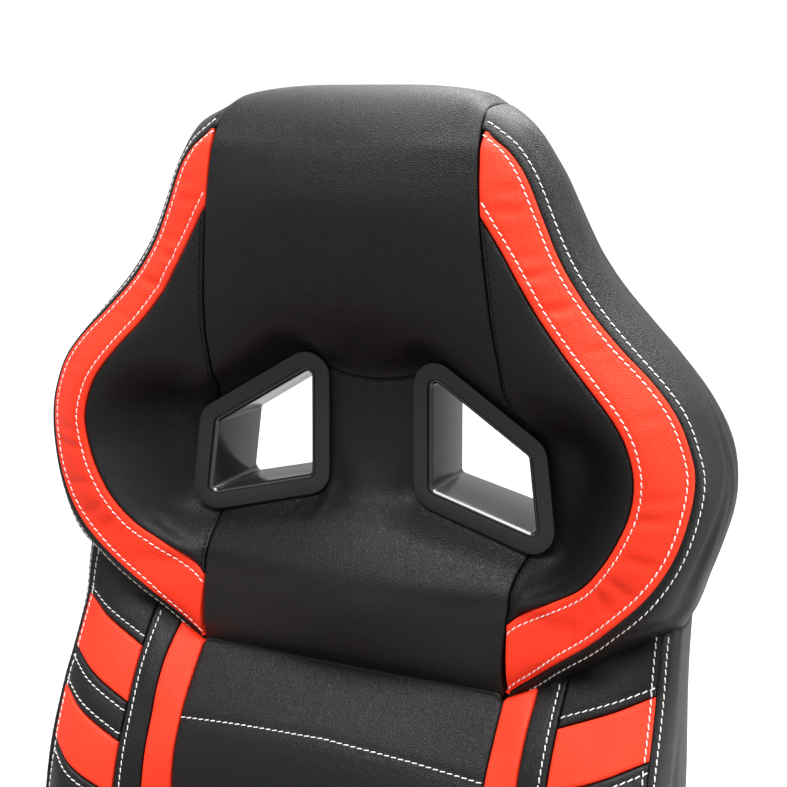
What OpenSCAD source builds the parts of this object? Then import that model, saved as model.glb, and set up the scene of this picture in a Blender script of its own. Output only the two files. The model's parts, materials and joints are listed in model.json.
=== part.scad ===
// Reclining sport seat on slide rails, with harness openings in the backrest.
// Millimetres, +Z up, the seat faces -Y, origin at the centre of the floor bolts under the rails.

/* [Backrest] */
// Widest point of the shoulder wings, over the side boxing
shoulder_w = 526; // [500:1:540]
// Backrest lean from upright at rest, in degrees
lean = 8; // [6:1:10]
// Height of the waist seam above the recliner pivot, along the backrest
waist_h = 430; // [425:1:440]
// Thickness of the padded cover panels
cover_t = 4; // [3:0.5:4.5]
// Gap between the foam and the cover panels
cover_gap = 1; // [0.8:0.1:1.2]

/* [Harness openings] */
// Width of the bezel's flat face frame
bezel_face = 12; // [10:0.5:14]
// Thickness of the bezel's flange
bezel_t = 3.5; // [3:0.5:4]
// Wall of the tunnel through the foam
tunnel_wall = 2.4; // [2:0.2:3]

/* [Cushion] */
// Half width of the cushion over its bolsters
cushion_half = 236; // [230:1:238]
// Underside of the cushion, which rests on the springs
cushion_base = 103; // [103:1:103]

/* [Recliner] */
// Pivot, behind the origin
pivot_y = 225; // [215:1:230]
// Pivot, above the floor
pivot_z = 165; // [160:1:170]
// Radius of the sync rod
rod_r = 5; // [4:0.5:5]
// Running clearance of the sync rod in its bores
rod_play = 0.08; // [0.05:0.01:0.1]
// Radius of the recliner housings
disc_r = 43; // [42:1:46]

/* [Slide rails] */
// Distance between the two rails
rail_gauge = 390; // [380:2:396]
// Length of the lower rails
rail_len = 400; // [390:10:420]
// Distance between the floor bolts, front to back
bolt_pitch_y = 330; // [320:5:340]
// Distance between the floor bolts, side to side
bolt_pitch_x = 300; // [280:5:310]
// Radius of the floor bolt holes, for M8
floor_hole_r = 4.25; // [4.25:0.25:5.5]

/* [Hidden] */
$fn = 48;

black = "#26262a";
red = "#f2402f";
steel = "#3b3d42";
zinc = "#a9adb3";
foam_colour = "#6d6f78";
shell_black = "#1b1b1e";

// ---- curves and sheets ----

function mix(a, b, u) = a + (b - a) * u;
function stretch_of(t, p) = max([0, for (i = [1 : max(1, len(t) - 2)]) if (p >= t[i][0] && i < len(t) - 1) i]);
function slope_at(t, i) =
    let (a = max(i - 1, 0), b = min(i + 1, len(t) - 1))
    (t[b] - t[a]) / (t[b][0] - t[a][0]);
// A smooth curve through the stations [position, value, ...], held past both ends
function curve(t, p) =
    let (
        q = min(max(p, t[0][0]), t[len(t) - 1][0]),
        i = stretch_of(t, q),
        h = t[i + 1][0] - t[i][0],
        u = (q - t[i][0]) / h,
        v = 1 - u
    )
    t[i] * (1 + 2 * u) * v * v + slope_at(t, i) * h * u * v * v
    + t[i + 1] * u * u * (3 - 2 * u) - slope_at(t, i + 1) * h * u * u * v;
function unit(v) = v / norm(v);
function smooth_max(a, b, r) = (a + b + sqrt((a - b) * (a - b) + r * r)) / 2;

// A closed solid between two sheets, each a list of rows of points
module slab(front, back) {
    rows = len(front);
    cols = len(front[0]);
    n = rows * cols;
    function at(r, c, s) = s * n + r * cols + c;
    points = concat([for (row = front, p = row) p], [for (row = back, p = row) p]);
    faces = concat(
        [for (r = [0 : rows - 2], c = [0 : cols - 2]) each [
            [at(r, c, 0), at(r + 1, c, 0), at(r + 1, c + 1, 0)],
            [at(r, c, 0), at(r + 1, c + 1, 0), at(r, c + 1, 0)],
            [at(r, c, 1), at(r + 1, c + 1, 1), at(r + 1, c, 1)],
            [at(r, c, 1), at(r, c + 1, 1), at(r + 1, c + 1, 1)]]],
        [for (c = [0 : cols - 2]) each [
            [at(0, c, 0), at(0, c + 1, 0), at(0, c + 1, 1)],
            [at(0, c, 0), at(0, c + 1, 1), at(0, c, 1)],
            [at(rows - 1, c, 0), at(rows - 1, c + 1, 1), at(rows - 1, c + 1, 0)],
            [at(rows - 1, c, 0), at(rows - 1, c, 1), at(rows - 1, c + 1, 1)]]],
        [for (r = [0 : rows - 2]) each [
            [at(r, 0, 0), at(r + 1, 0, 1), at(r + 1, 0, 0)],
            [at(r, 0, 0), at(r, 0, 1), at(r + 1, 0, 1)],
            [at(r, cols - 1, 0), at(r + 1, cols - 1, 0), at(r + 1, cols - 1, 1)],
            [at(r, cols - 1, 0), at(r + 1, cols - 1, 1), at(r, cols - 1, 1)]]]);
    polyhedron(points, faces);
}
function flipped(rows) = [for (row = rows) [for (i = [len(row) - 1 : -1 : 0]) row[i]]];
function mirrored(rows) = flipped([for (row = rows) [for (p = row) [-p[0], p[1], p[2]]]]);

// ---- backrest, in its own frame: waist seam at z 0, +Z up the back, -Y forward ----

back_pivot_y = 45;
wide = shoulder_w / 526;
head_top = 404.4;
roll_start = 372;
roll_y = 40;
foam_rear = 56;
frame_y = 68;
tube_r = 9;
panel_rear = 95;

// Stations [height, half width, depth] of the lines that divide the front
seam_line = [[-2, 120, 3], [20, 119, -2], [50, 119, 0], [70, 120, 5], [84, 122, 18], [98, 120, 34],
    [140, 116, 38], [180, 112, 35], [200, 111, 20], [222, 110, 3], [262, 108, -8], [323, 102, -12],
    [365, 99, -7], [380, 98, 0], [388, 90, 0], [394, 80, 0], [400, 62, 0], [403, 38, 0], [404.4, 14, 0]];
centre_line = [[-2, 6], [14, -6], [45, -13], [70, -8], [92, 6], [108, 24], [125, 41], [160, 43],
    [205, 42], [235, 32], [255, 14], [275, -4], [300, -15], [330, -19], [355, -15], [372, -9], [380, -5]];
flank_line = [[51, 1], [66, 0], [76, 6], [88, 24], [100, 34], [130, 35], [160, 33], [178, 24],
    [195, 8], [215, -5], [262, -9], [323, -12]];
band_inner = [[51, 119.5, 1], [61, 131, -3], [74, 150, -8], [88, 171, -11], [105, 186, -15],
    [124, 198, -16], [145, 206, -16], [166, 208, -17], [186, 203, -17], [202, 194, -17],
    [224, 175, -15], [243, 157, -11], [264, 140, -9], [283, 128, -10], [303, 116, -11], [323, 103, -12]];
band_outer = [[-2, 121, 3], [5, 126, 3], [19, 143, -1], [36, 162, -9], [54, 184, -14], [74, 204, -18],
    [93, 221, -17], [117, 235, -13], [145, 243, -9], [170, 245, -6], [190, 240, -6], [209, 231, -6],
    [227, 216, -5], [248, 193, -4], [271, 171, -1], [297, 153, 0], [325, 140, 0], [350, 129, -1],
    [365, 118, -1], [372, 109, -1], [380, 99, 0], [388, 91, 0], [394, 81, 0], [400, 63, 0],
    [403, 39, 0], [404.4, 15, 0]];
side_line = [[-2, 122, 12], [2, 138, 12], [14, 161, 12], [30, 188, 14], [48, 215, 18], [62, 236, 28],
    [78, 240, 35], [96, 246, 35], [135, 258.5, 35], [163, 263, 35], [193, 258, 35], [225, 241, 35],
    [257, 210, 35], [294, 175, 35], [341, 148, 37], [375, 126.5, 40], [393, 104, 40], [400, 84, 40],
    [403, 55, 40], [404.4, 22, 40]];
// Edge of the rear panel over the whole back, [height, half width, depth]
rear_line = [[-385, 198, 84], [-290, 205, 84], [-225, 217, 84], [-150, 225, 84], [-80, 228, 84],
    [56, 227, 82], [100, 236, 82], [163, 250, 82], [225, 229, 84], [294, 164, 84], [341, 137, 82],
    [375, 114, 80], [393, 94, 76], [400, 74, 72], [404.4, 16, 62]];
// Depth of the rear panel along its middle
rear_middle = [[-385, 88], [-200, 89], [0, 91], [80, 93.6], [240, 93.6], [300, 92], [372, 88]];
// Bezel outline corners [half width, height]: upper inner, lower inner, lower outer, upper outer
bezel_corners = [[33, 233], [34, 116], [147, 88], [136, 170]];
bezel_plane = [44, -0.11];
// Lower end of the backrest, [half width, height]
lower_end = [[0, -405], [143, -403], [200, -388], [234, -385]];
rear_bottom = -384;
rear_margin = 5;
dent_slope = 1.3;
dent_round = 8;

function roll(z) =
    z < roll_start ? 1 : sqrt(max(0.0004, 1 - pow((z - roll_start) / (head_top - roll_start), 2)));
function rolled(y, z) = roll_y + (y - roll_y) * roll(z);
function outside(p, a, b) = ((b[1] - a[1]) * (p[0] - a[0]) - (b[0] - a[0]) * (p[1] - a[1])) / norm(b - a);
function bezel_distance(p) = max([for (i = [0 : 3]) outside(p, bezel_corners[i], bezel_corners[(i + 1) % 4])]);
function plate_y(x) = bezel_plane[0] + bezel_plane[1] * x;
// Depth that a point is pressed back to by the nearest bezel, with one valley between the two
function dent(x, z) =
    let (w = max(abs(x), bezel_corners[0][0]))
    plate_y(w) + bezel_t + 0.5 - dent_slope * max(0, bezel_distance([w, z]));
function front_keys(z) =
    let (
        s = curve(seam_line, z), i = curve(band_inner, z), o = curve(band_outer, z),
        c = curve(centre_line, z)[1], m = curve(flank_line, z)[1], flank = i[1] - s[1]
    )
    concat([[-s[1], s[2]], [0, c], [s[1], s[2]]],
        z > 52 && flank > 6 ? [[mix(s[1], i[1], 0.45), m], [i[1], i[2]]] : [],
        o[1] - s[1] > 4 ? [[o[1], o[2]]] : []);
// Depth of the upper front at half width x and height z
function upper_front(x, z) = rolled(smooth_max(curve(front_keys(z), abs(x))[1], dent(x, z), dent_round), z);
function upper_front_point(x, z, d) =
    let (
        e = 2, y = upper_front(x, z),
        n = unit([(upper_front(x + e, z) - upper_front(x - e, z)) / (2 * e), -1,
            (upper_front(x, z + e) - upper_front(x, z - e)) / (2 * e)])
    )
    [x * wide, y, z] - n * d;
function side_point(z, d) = let (s = curve(side_line, z)) [s[1] * wide - d, s[2], z];
function strip_point(z, d) =
    let (o = curve(band_outer, z), s = curve(side_line, z))
    [mix(o[1], s[1], 0.3) * wide - 0.7 * d, rolled(o[2] + 5, z) + 0.7 * d, z];
function rear_edge_x(z) = z > 62 ? curve(rear_line, z)[1] : min(curve(rear_line, z)[1], curve(side_line, z)[1]);
// Under the wing the boxing turns in only a little, to meet the lower back
function upper_rear_edge(z, d) =
    let (
        turn_in = side_point(z, 0)[1] + 6, full = rolled(curve(rear_line, z)[2], z),
        t = min(1, max(0, (z - 48) / 12))
    )
    [rear_edge_x(z) * wide - 0.8 * d, mix(turn_in, full, t) - 0.6 * d, z];
// A point of the rear panel, u from -1 to 1 across it
function rear_point(u, z, d) =
    let (
        e = curve(rear_line, z), half = e[1] - rear_margin, x = u * half,
        fall = max(0, (abs(x) - 150) / max(1, half - 150)),
        y = mix(curve(rear_middle, z)[1], e[2], half > 152 ? fall * fall : u * u * u * u),
        bottom = curve(lower_end, abs(x))[1] + 1
    )
    [x * wide, rolled(y, z) - d, z > 60 ? z : mix(bottom, 60, (z - rear_bottom) / (60 - rear_bottom))];

// Rows of the upper back, closer together where the surface turns
upper_rows = [-1, 8, 20, 34, 48, 60, 70, 80, 90, 102, 116, 135, 155, 172, 186, 200, 214, 228, 242, 256,
    272, 290, 310, 330, 350, 364, 374, 382, 389, 395, 400, 403, 404.4];
lower_v = [for (i = [0 : 13]) i / 13];

// Stations [height, depth] of the lower front at its dividing lines
lower_centre_line = [[-405, -14], [-380, -24], [-330, -36], [-260, -46], [-180, -52], [-110, -51], [-75, -47],
    [-44, -36], [-20, -15], [-2, 6]];
lower_seam_depth = [[-405, -16], [-380, -26], [-330, -38], [-260, -47], [-180, -51], [-110, -50], [-75, -46],
    [-44, -33], [-21, -17], [0, 0]];
lower_stripe_depth = [[-405, -20], [-380, -32], [-260, -58], [-180, -62], [-110, -56], [-75, -49], [-46, -37],
    [-31, -31], [-12, -19], [4, -6]];
lower_black_depth = [[-405, -28], [-380, -40], [-260, -72], [-180, -76], [-110, -63], [-75, -53], [-46, -40],
    [-22, -28], [-4, -16], [17, 0]];
lower_crest_depth = [[-385, -54], [-300, -84], [-220, -92], [-150, -82], [-90, -62], [-46, -42],
    [-10, -22], [20, -6], [42, 6]];
lower_edge_line = [[-385, 200, -36], [-290, 208, -60], [-220, 219, -68], [-150, 227, -62], [-90, 228, -49],
    [-40, 228, -29], [-22, 227, -20], [0, 226, -9], [20, 225, 0], [56, 224, 8]];
lower_side_line = [[-385, 205, 15], [-330, 209, 15], [-290, 212, 15], [-225, 224, 15], [-150, 233, 15],
    [-80, 236, 15], [-20, 234, 20], [56, 234, 24]];
// Underside of the shoulder wings, [half width, height]
wing_under = [[118, -3], [138, 1], [161, 13], [188, 29], [215, 47], [235, 58]];
lower_x = [0, 40, 80, 120, 131.5, 143, 164, 182, 200, 216, 228];

function lower_top(x) = abs(x) <= 118 ? -3 : curve(wing_under, abs(x))[1] - 2;
function lower_front(x, z) =
    let (
        e = curve(lower_edge_line, z),
        keys = [[-120, curve(lower_seam_depth, z)[1]], [0, curve(lower_centre_line, z)[1]],
            [120, curve(lower_seam_depth, z)[1]], [143, curve(lower_stripe_depth, z)[1]],
            [164, curve(lower_black_depth, z)[1]], [e[1] - 26, curve(lower_crest_depth, z)[1]],
            [e[1], e[2]]]
    )
    curve(keys, abs(x))[1];
// The outer columns draw in with the edge line towards the bottom
function drawn_in(x, z) =
    let (e = curve(lower_edge_line, z)[1])
    abs(x) <= 164 ? x : sign(x) * (164 + (abs(x) - 164) * (e - 164) / (228 - 164));
function lower_z(x, v) = mix(curve(lower_end, abs(x))[1], lower_top(x), v);
function lower_front_point(x, v, d) =
    let (
        z = lower_z(x, v), xx = drawn_in(x, z), e = 2,
        n = unit([(lower_front(xx + e, z) - lower_front(xx - e, z)) / (2 * e), -1,
            (lower_front(xx, z + e) - lower_front(xx, z - e)) / (2 * e)])
    )
    [xx * wide, lower_front(xx, z), z] - n * d;
function lower_side_point(v, d) =
    let (z = lower_z(234, v), s = curve(lower_side_line, z))
    [s[1] * wide - d, s[2], z];
function lower_rear_edge(v, d) =
    let (z = lower_z(234, v), e = curve(rear_line, z))
    [e[1] * wide - 0.8 * d, e[2] - 0.6 * d, z];

module in_back() {
    translate([0, pivot_y, pivot_z])
        rotate([-lean, 0, 0])
            translate([0, -back_pivot_y, waist_h])
                children();
}
module each_side() {
    children();
    mirror([1, 0, 0]) children();
}
// Turns an outline [y, z] into a plate that grows along +X from x
module plate_x(x, t) {
    translate([x, 0, 0]) rotate([90, 0, 90]) linear_extrude(t) children();
}
// Turns an outline [x, z] into a prism that runs from y to y + t
module prism_y(y, t) {
    translate([0, y + t, 0]) rotate([90, 0, 0]) linear_extrude(t) children();
}
module rod_x(y, z, r, x0, x1) {
    translate([x0, y, z]) rotate([0, 90, 0]) cylinder(r = r, h = x1 - x0);
}
// A straight tube between two points, with a welded knuckle at its far end
module limb(a, b, r) {
    v = b - a;
    translate(a)
        rotate([0, acos(v[2] / norm(v)), atan2(v[1], v[0])])
            cylinder(r = r, h = norm(v));
    translate(b) sphere(r = r + 0.6);
}
module bezel_outline(grow, r) {
    inset = r - grow;
    hull()
        for (i = [0 : 3])
            translate(corner_centre(i, inset)) circle(r = r);
}
// Centre of a corner arc, moved in from both edges of the outline
function corner_centre(i, d) =
    let (
        p = bezel_corners[i],
        a = unit(bezel_corners[(i + 3) % 4] - p), b = unit(bezel_corners[(i + 1) % 4] - p),
        half = acos(a * b) / 2
    )
    p + unit(a + b) * d / sin(half);
module tunnel_hole(grow) {
    prism_y(-60, 240) bezel_outline(grow - bezel_face, 8);
}
// The space that a bezel's flange takes, down to its rear face
module flange_space() {
    intersection() {
        prism_y(-60, 240) bezel_outline(0.4, 18);
        flange_slab(bezel_t + 0.3, 90);
    }
}
// A slab along the bezel plane, from t behind its face to front ahead of it
module flange_slab(t, front) {
    tilt = atan(bezel_plane[1]);
    translate([0, bezel_plane[0], 160])
        rotate([0, 0, tilt])
            translate([-10, -front, -120])
                cube([200, front + t, 240]);
}

// ---- backrest padding and covers ----

centre_cuts = [for (i = [0 : 6]) i / 7];
flank_cuts = [0, 0.15, 0.3, 0.45, 0.6, 0.8, 1];
band_cuts = [0, 0.33, 0.67, 1];
function band_start(z) =
    let (s = curve(seam_line, z)[1])
    z > 51 && z < 323 ? max(s + 0.5, curve(band_inner, z)[1]) : s + 0.5;
function upper_half(z, d) =
    let (s = curve(seam_line, z)[1], i = band_start(z), o = curve(band_outer, z)[1])
    concat([for (u = centre_cuts) if (u > 0) upper_front_point(s * u, z, d)],
        [for (u = flank_cuts) upper_front_point(mix(s, i, u), z, d)],
        [for (u = band_cuts) if (u > 0) upper_front_point(mix(i, max(o, i + 0.5), u), z, d)],
        [strip_point(z, d), side_point(z, d)]);
function upper_row(z, d) =
    let (h = upper_half(z, d))
    concat([for (i = [len(h) - 1 : -1 : 0]) [-h[i][0], h[i][1], h[i][2]]], [upper_front_point(0, z, d)], h);

// The foam is moulded in three blocks, with a glue line between them
module glue_line(x) {
    translate([x - 0.25, -300, -420]) cube([0.5, 600, 840]);
}
foam_taper = 0.965;
// The last row drops a little towards the rear
function foam_back(rows, drop) =
    [for (i = [0 : len(rows) - 1]) [for (p = rows[i])
        [p[0] * foam_taper, foam_rear, p[2] - (i == len(rows) - 1 ? drop : 0)]]];
// Keeps the foam off the covers where they curve most, at the head above all
function eased(p) = p[2] > 355 ? [p[0] * 0.95, p[1] + 2.6, p[2]] : [p[0], p[1] + 0.9, p[2]];
module back_foam_upper() {
    color(foam_colour)
    in_back()
    difference() {
        rows = [for (z = upper_rows) if (z < 384) [for (p = upper_row(z, cover_t + cover_gap)) eased(p)]];
        slab(rows, foam_back(rows, 0));
        each_side() {
            tunnel_hole(tunnel_wall + 0.5);
            flange_space();
            glue_line(90);
        }
    }
}
module back_foam_lower() {
    d = cover_t + cover_gap + 0.6;
    function half(v) = concat([for (x = lower_x) if (x > 0) lower_front_point(x, v, d)],
        [lower_side_point(v, d)]);
    function row(v) = let (h = half(v)) concat(
        [for (i = [len(h) - 1 : -1 : 0]) [-h[i][0], h[i][1], h[i][2]]], [lower_front_point(0, v, d)], h);
    rows = [for (v = lower_v) [for (p = row(v)) [p[0], p[1], p[2] - 0.5]]];
    color(foam_colour)
    in_back()
    difference() {
        slab(rows, foam_back(rows, 8));
        each_side() glue_line(143);
    }
}

// A padded panel between two lines on the upper front, a list of heights and the two half widths at each
module upper_panel(rows, lines, cuts, side) {
    function sheet(d) = [for (i = [0 : len(rows) - 1]) [for (u = cuts)
        upper_front_point(mix(lines[i][0], lines[i][1], u), rows[i], d)]];
    if (side > 0)
        slab(sheet(0), sheet(cover_t));
    else
        slab(mirrored(sheet(0)), mirrored(sheet(cover_t)));
}
seam_play = 0.25;
module head_panel() {
    lines = [for (z = upper_rows) let (s = curve(seam_line, z)[1] - (z > 376 ? 0.9 : seam_play)) [-s, s]];
    color(black)
    in_back()
    difference() {
        upper_panel(upper_rows, lines, [for (i = [0 : 14]) i / 14], 1);
        each_side() {
            tunnel_hole(tunnel_wall + 0.4);
            flange_space();
        }
    }
}
flank_rows = [for (z = upper_rows) if (z > 52 && z < 316) z];
module flank_panel(side) {
    lines = [for (z = flank_rows) [curve(seam_line, z)[1] + seam_play, curve(band_inner, z)[1] - seam_play]];
    color(black)
    in_back()
    difference() {
        upper_panel(flank_rows, lines, flank_cuts, side);
        mirror([side < 0 ? 1 : 0, 0, 0]) {
            tunnel_hole(tunnel_wall + 0.4);
            flange_space();
        }
    }
}
module flank_panel_left() { flank_panel(-1); }
module flank_panel_right() { flank_panel(1); }
band_rows = [for (z = upper_rows) if (z > 2 && z < 373) z];
module red_band(side) {
    lines = [for (z = band_rows) [band_start(z) + seam_play, curve(band_outer, z)[1] - seam_play]];
    color(red)
    in_back()
        upper_panel(band_rows, lines, band_cuts, side);
}
module red_band_left() { red_band(-1); }
module red_band_right() { red_band(1); }

boxing_rows = [for (z = upper_rows) if (z > 2) z];
module side_boxing(side) {
    function row(z, d) =
        let (
            o = curve(band_outer, z),
            edge = [(o[1] + seam_play) * wide + 0.1 * d, rolled(o[2], z) + 0.65 * d, z],
            strip = strip_point(z, d), bulge = side_point(z, d), rear = upper_rear_edge(z, d),
            swell = z > 62 ? [2, 0, 0] : [0, 0, 0]
        )
        [edge, strip, mix(strip, bulge, 0.5) + [1, 0, 0], bulge, mix(bulge, rear, 0.5) + swell, rear];
    function sheet(d) = [for (z = boxing_rows) row(z, d)];
    color(black)
    in_back()
        if (side > 0)
            slab(sheet(0), sheet(cover_t));
        else
            slab(mirrored(sheet(0)), mirrored(sheet(cover_t)));
}
module side_boxing_left() { side_boxing(-1); }
module side_boxing_right() { side_boxing(1); }

rear_rows = concat([for (i = [0 : 9]) rear_bottom + i * 44], [for (z = upper_rows) if (z > 50) z]);
module back_panel() {
    function sheet(d) = [for (z = rear_rows) [for (i = [0 : 12]) rear_point(1 - i / 6, z, d)]];
    color(black)
    in_back()
    difference() {
        slab(sheet(0), sheet(cover_t));
        each_side() tunnel_hole(tunnel_wall + 0.4);
    }
}

// A lower panel between two half widths, over the given columns
module lower_panel(x0, x1, n) {
    function sheet(d) = [for (v = lower_v) [for (i = [0 : n]) lower_front_point(mix(x0, x1, i / n), v, d)]];
    slab(sheet(0), sheet(cover_t));
}
module lower_centre_panel() {
    color(black) in_back() lower_panel(-120 + seam_play, 120 - seam_play, 10);
}
module lower_stripe_right() {
    color(red) in_back() lower_panel(120 + seam_play, 143 - seam_play, 2);
}
module lower_stripe_left() { mirror([1, 0, 0]) lower_stripe_right(); }
module back_bolster_right() {
    function row(v, d) =
        let (side = lower_side_point(v, d), rear = lower_rear_edge(v, d))
        concat([for (x = [143 + seam_play, 164, 182, 200, 216, 228]) lower_front_point(x, v, d)],
            [side, mix(side, rear, 0.5) + [2, 0, 0], rear]);
    color(black)
    in_back()
    difference() {
        slab([for (v = lower_v) row(v, 0)], [for (v = lower_v) row(v, cover_t)]);
        for (z = bracket_bolt_z) rod_x(frame_y, z - waist_h, boss_r + 0.4, 150, 260);
    }
}
module back_bolster_left() { mirror([1, 0, 0]) back_bolster_right(); }

// ---- bezels that line the harness openings ----

module bezel_right() {
    color(shell_black)
    in_back()
    difference() {
        union() {
            intersection() {
                prism_y(-60, 240) bezel_outline(0, 18);
                flange_slab(bezel_t, 0);
            }
            intersection() {
                prism_y(10, panel_rear + 0.2 - 10) bezel_outline(tunnel_wall - bezel_face, 8);
                flange_slab(90, 0);
            }
        }
        tunnel_hole(0);
    }
}
module bezel_left() { mirror([1, 0, 0]) bezel_right(); }
module rear_bezels() {
    color(shell_black)
    in_back()
    each_side()
    difference() {
        prism_y(panel_rear + 0.3, bezel_t) bezel_outline(-2, 16);
        tunnel_hole(0);
    }
}

// ---- backrest frame ----

bracket_bolt_z = [90, 135];
boss_r = 9;
hoop = [[180, -375], [186, 140], [96, 345]];
function hoop_point(i, s) = [s * hoop[i][0], frame_y, hoop[i][1]];
module back_frame() {
    color(steel)
    in_back()
    difference() {
        union() {
            each_side() {
                limb(hoop_point(0, 1), hoop_point(1, 1), tube_r);
                limb(hoop_point(1, 1), hoop_point(2, 1), tube_r);
                for (z = bracket_bolt_z) rod_x(frame_y, z - waist_h, boss_r, hoop[0][0], 215.8);
            }
            rod_x(frame_y, hoop[2][1], tube_r, -hoop[2][0], hoop[2][0]);
            for (z = [-365, -20]) rod_x(frame_y, z, tube_r - 2, -hoop[0][0], hoop[0][0]);
            rod_x(frame_y, 285, tube_r - 3, -122, 122);
        }
        each_side()
            for (z = bracket_bolt_z) rod_x(frame_y, z - waist_h, 4, 196, 230);
    }
}
// One zigzag wire spring, as an outline that swings n times along its length
function zigzag(length, swing, wire, n) =
    let (
        m = n * 8,
        mid = [for (i = [0 : m]) [length * (i / m - 0.5), swing * sin(360 * n * i / m)]],
        side = [for (i = [0 : m])
            let (v = unit(mid[min(m, i + 1)] - mid[max(0, i - 1)])) [-v[1], v[0]] * wire / 2]
    )
    concat([for (i = [0 : m]) mid[i] + side[i]], [for (i = [m : -1 : 0]) mid[i] - side[i]]);
module back_springs() {
    color(zinc)
    in_back()
        for (z = [-300, -230, -160, -90])
            translate([0, 0, z])
                prism_y(foam_rear + 0.2, frame_y - tube_r - foam_rear - 0.2) polygon(zigzag(372, 14, 4, 12));
}

// ---- cushion, in the seat's own position ----

// Stations [depth, height] along the lines that divide the cushion's top
seat_centre = [[-262, 198], [-190, 212], [-100, 202], [0, 194], [100, 188], [180, 183], [232, 180]];
seat_stripe_line = [[-262, 201], [-190, 218], [-100, 214], [0, 208], [70, 198], [110, 187], [232, 180]];
seat_crest = [[-262, 204], [-190, 230], [-110, 245], [-40, 248], [25, 236], [75, 206], [110, 191], [232, 180]];
seat_edge = [[-262, 190], [-190, 208], [-110, 221], [-40, 224], [25, 214], [75, 195], [110, 184], [232, 174]];
seat_half = [[-262, 206], [-230, 222], [-180, 236], [60, 236], [115, 232], [150, 216], [180, 205], [232, 203]];
// Rows of the cushion, [depth, share of the height]
seat_rows = concat([[-257, 0.03], [-261, 0.3], [-262, 0.6], [-257, 0.82], [-246, 0.94], [-228, 1]],
    [for (y = [-205, -180, -150, -120, -90, -60, -30, 0, 30, 55, 80, 105, 130, 155, 180, 200, 213]) [y, 1]]);
function seat_width(y) = curve(seat_half, y)[1] * cushion_half / 236;
function seat_top(x, y) =
    let (w = seat_width(y), c = curve(seat_centre, y)[1])
    curve([[-118, c + 1], [0, c], [118, c + 1], [141, curve(seat_stripe_line, y)[1]],
        [w - 42, curve(seat_crest, y)[1]], [w - 8, curve(seat_edge, y)[1]]], abs(x))[1];
function seat_point(x, row, d) =
    let (base = cushion_base + 1)
    [x, row[0] + (row[1] < 0.9 ? d * 0.9 : 0),
        base + row[1] * (seat_top(x, row[0]) - base) - (row[1] < 0.7 ? 0 : d)];
// Columns from the stripe out over the bolster and down the side, u from 0 to 1 over the top
function bolster_columns(row, d) =
    let (w = seat_width(row[0]))
    concat([for (u = [0, 0.2, 0.4, 0.6, 0.8, 1]) seat_point(mix(141 + seam_play, w - 8, u), row, d)],
        [[w - d, row[0] + (row[1] < 0.9 ? d : 0), cushion_base + 1 + row[1] * (160 - cushion_base)],
            [w - 5 - d, row[0] + (row[1] < 0.9 ? d : 0), cushion_base + 1 + row[1] * 10]]);
module seat_foam() {
    d = cover_t + cover_gap + 1.4;
    function half(row) =
        concat([for (x = [40, 80, 118, 129.5]) seat_point(x, row, d)], bolster_columns(row, d));
    function whole(row) = let (h = half(row)) concat(
        [for (i = [len(h) - 1 : -1 : 0]) [-h[i][0], h[i][1], h[i][2]]], [seat_point(0, row, d)], h);
    top = [for (row = seat_rows) whole(row)];
    under = [for (i = [0 : len(top) - 1]) [for (c = [0 : len(top[i]) - 1])
        [mix(-1, 1, c / (len(top[i]) - 1)) * (top[i][len(top[i]) - 1][0] - 2),
            max(top[i][c][1], -250 + 2 * i), cushion_base]]];
    color(foam_colour)
    difference() {
        slab(top, under);
        each_side() glue_line(141);
    }
}
module seat_panel(x0, x1, n) {
    function sheet(d) = [for (row = seat_rows) [for (i = [0 : n]) seat_point(mix(x0, x1, i / n), row, d)]];
    slab(sheet(0), sheet(cover_t));
}
module seat_centre_panel() {
    color(black) seat_panel(-118 + seam_play, 118 - seam_play, 8);
}
module seat_stripe_right() {
    color(red) seat_panel(118 + seam_play, 141 - seam_play, 2);
}
module seat_stripe_left() { mirror([1, 0, 0]) seat_stripe_right(); }
module seat_bolster_right() {
    color(black)
        slab([for (row = seat_rows) bolster_columns(row, 0)],
            [for (row = seat_rows) bolster_columns(row, cover_t)]);
}
module seat_bolster_left() { mirror([1, 0, 0]) seat_bolster_right(); }

// ---- slide rails ----

strap_t = 4;
strap_w = 44;
rail_w = 36;
rail_h = 22;
rail_t = 2.5;
slot_w = 14;
flange_w = 26;
flange_t = 3;
web_t = 8;
upper_h = 48;
ball_r = 3.5;
rail_x = rail_gauge / 2;
rail_z = strap_t;
upper_z = rail_z + upper_h;
flange_z = rail_z + rail_t + 2 * ball_r;
cage_half = 150;
ball_places = [-140, -50, 50, 140];
rail_bolt_y = 165;
notch_pitch = 15;
latch_y = -100;
module bar_y(x0, x1, z0, z1, half) {
    translate([x0, -half, z0]) cube([x1 - x0, 2 * half, z1 - z0]);
}
module floor_crossbars() {
    color(steel)
    difference() {
        for (y = [-1, 1] * bolt_pitch_y / 2)
            translate([-rail_x - rail_w / 2, y - strap_w / 2, 0]) cube([rail_gauge + rail_w, strap_w, strap_t]);
        for (x = [-1, 1] * bolt_pitch_x / 2, y = [-1, 1] * bolt_pitch_y / 2)
            translate([x, y, -1]) cylinder(r = floor_hole_r, h = strap_t + 2);
        for (x = [-1, 1] * rail_x, y = [-1, 1] * rail_bolt_y)
            translate([x, y, -1]) cylinder(r = 3.1, h = strap_t + 2);
    }
}
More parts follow.
